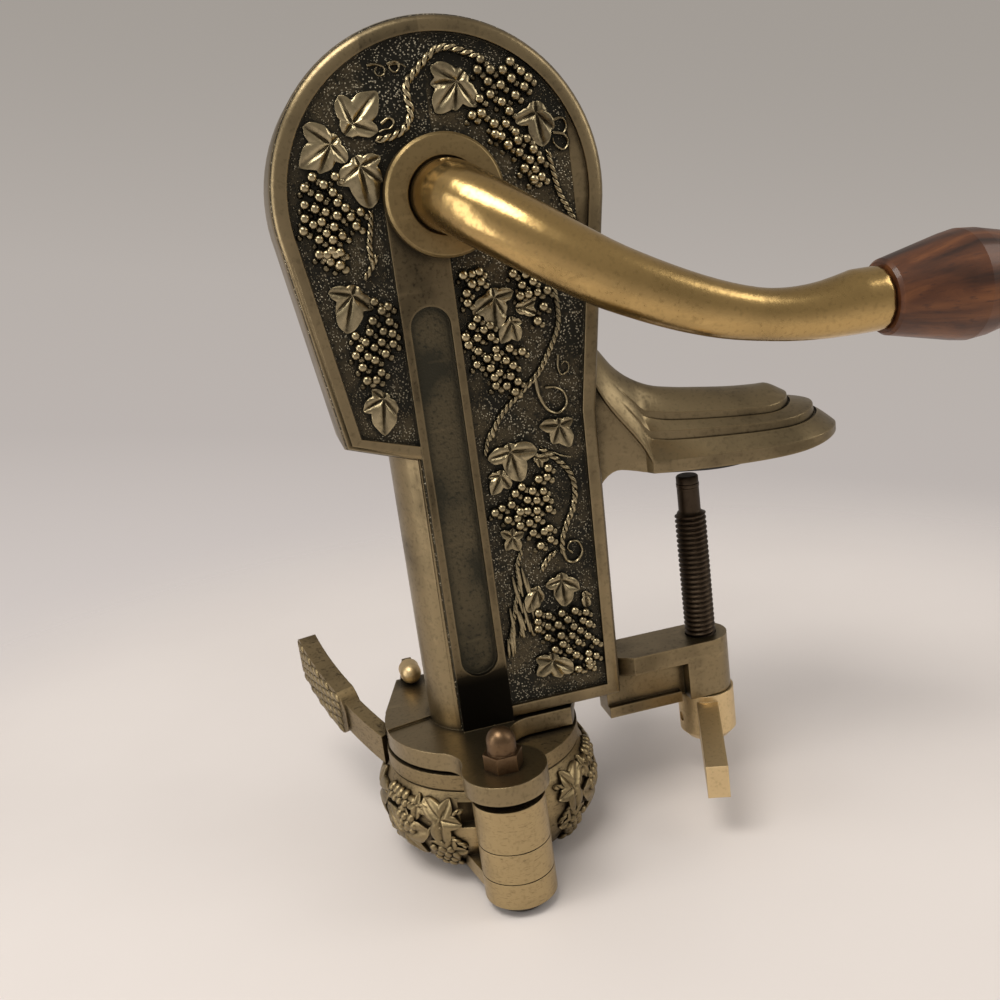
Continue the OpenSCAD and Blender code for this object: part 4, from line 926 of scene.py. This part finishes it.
bpy.data.objects.remove(grape)


# Hinge of the bottle jaws: a long bolt through foot and knuckles, with a domed nut on top. Both are of
# dark bronze that was never cleaned.
bronze = aged_brass("nut_bronze", (0.21, 0.135, 0.075), (0.05, 0.03, 0.018), grime=0.7, rough=0.3)
coat(settle(bronze), "acorn_nut", "hinge_bolt")


# Ring round the lever's shaft: a turned brass bushing set in the housing's front wall and held from
# behind. The lever keeps hands away, so it has stayed brown.
turned = aged_brass("ring_brass", (0.32, 0.235, 0.11), (0.06, 0.04, 0.02), grime=0.7, rough=0.34)
coat(settle(turned), "front_bushing")


# Lever arm: one curved brass casting, ground smooth by hand and polished by use. Its skin is drawn fair
# over the turned ends. The cap at the grip's end and the cross pin are of the same metal.
swept_arm = take("swept_arm", "lever_arm")
cast_skin = swept_arm.modifiers.new("cast_skin", "REMESH")
cast_skin.mode, cast_skin.voxel_size = "VOXEL", 0.0006
bpy.ops.object.modifier_apply(modifier=cast_skin.name)
ground_skin = swept_arm.modifiers.new("ground_skin", "SMOOTH")
ground_skin.factor, ground_skin.iterations = 0.5, 8
bpy.ops.object.modifier_apply(modifier=ground_skin.name)
smooth(swept_arm, 50)
polished = aged_brass("arm_brass", (0.54, 0.37, 0.15), (0.12, 0.078, 0.03), grime=0.75, rough=0.19, base=0.12)
coat(settle(polished), swept_arm, "grip_end_nut", "arm_pin")
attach(swept_arm, "handle")
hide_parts("lever_arm")


# Grip: turned from a dark red hardwood with its grain along the handle, oiled and then polished by
# hands. It runs free on a rod.
wood = Finish("red_wood", {"Coat Weight": 0.3, "Coat Roughness": 0.14, "Roughness": 0.5,
    "Specular IOR Level": 0.3})
along_grain = wood.here(stretch=(14, 160, 160))
streak = wood.add("TexNoise", {"Vector": along_grain, "Scale": 1.0, "Detail": 5.0, "Distortion": 0.6})
pore = wood.noise(scale=1.0, detail=3.0, at=wood.here(stretch=(60, 1500, 1500)))
tone = wood.add("ValToRGB", {0: streak}, stops=[(0.3, (0.02, 0.0062, 0.0025)), (0.5, (0.075, 0.023, 0.0065)),
    (0.72, (0.19, 0.066, 0.018))])
wood.surface(Base_Color=wood.blend(pore.rise(0.55, 0.75, 0.0, 0.6), tone, (0.03, 0.01, 0.006)),
    Normal=wood.add("Bump", {"Height": pore * 0.00003, "Distance": 1.0}))
coat(wood.material, "wood_grip")


# Clamp screw: 3/8 inch steel rod, cut with a coarse thread up to a plain nose that holds a snap ring.
# The steel is blackened, as are that ring, the hinge's washers and the crank's nut.
pitch, round_steps, core_r, thread_depth = 1.5875, 40, 3.95, 0.81
screw_foot, thread_steps = -172.2, 355
profile = [(screw_foot, 0.0), (screw_foot, 3.9)]
profile += [(screw_foot + step * pitch / 8, None) for step in range(1, thread_steps + 1)]
profile += [(-101.4, core_r), (-100.7, 3.4), (-100.5, 3.36), (-93.3, 3.36), (-93.3, 2.8), (-92.1, 2.8),
    (-92.1, 3.36), (-90.1, 3.36), (-89.7, 2.96), (-89.7, 0.0)]
threaded_screw = new_grid("threaded_screw", round_steps, len(profile) - 1)
for point in threaded_screw.data.vertices:
    turn = (point.co.x + 0.5) * 2 * math.pi
    height, wide = profile[round((point.co.y + 0.5) * (len(profile) - 1))]
    if wide is None:
        flank = abs((height / pitch - turn / (2 * math.pi)) % 1 * 2 - 1)
        wide = core_r + thread_depth * min(1.0, flank * 1.25)
    point.co = spot(screw_x + wide * math.cos(turn), screw_y + wide * math.sin(turn), height)
join_points(threaded_screw, 0.000003, outward=True)
smooth(threaded_screw, 45)
steel = aged_brass("blackened_steel", (0.085, 0.062, 0.042), (0.02, 0.014, 0.01), grime=0.8, rough=0.38)
coat(settle(steel), threaded_screw, "point_ring", "hinge_washers", "crank_nut")
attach(threaded_screw, "clamp_spindle")
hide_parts("clamp_screw")


# Wing lever: hub and two flat wings sand-cast in pale brass, pinned to the screw's foot and left rough.
# The stop knob behind the column and the bush that guides the worm are of the same brass.
pale_brass = aged_brass("wing_brass", (0.74, 0.57, 0.32), (0.22, 0.15, 0.07), grime=0.4, rough=0.4, base=0.05)
coat(settle(pale_brass), "wing_lever", "wing_pin", "worm_guide", "stop_knob")


# Works inside the housing: shaft, crank, rod, carriage, spindle and worm of bright steel, turned and
# pinned together, with the rod of the grip. Oil keeps them clean.
bright_steel = aged_brass("bright_steel", (0.62, 0.61, 0.59), (0.25, 0.24, 0.22), grime=0.5, rough=0.3)
coat(settle(bright_steel), "handle_shaft", "crank_disc", "crank_pin", "connecting_rod", "wrist_pin",
    "carriage", "spindle", "spindle_collar", "thrust_washers", "worm", "grip_rod")


# Pad and linings: black rubber, moulded, glued under the upper jaw to spare the table and inside both
# bottle jaws to hold the glass.
rubber = Finish("black_rubber", {"Roughness": 0.7})
bloom = rubber.noise(scale=400.0, detail=3.0)
rubber.surface(Base_Color=rubber.blend(bloom, (0.018, 0.017, 0.016), (0.035, 0.033, 0.03)))
coat(rubber.material, "jaw_pad", "left_lining", "right_lining")
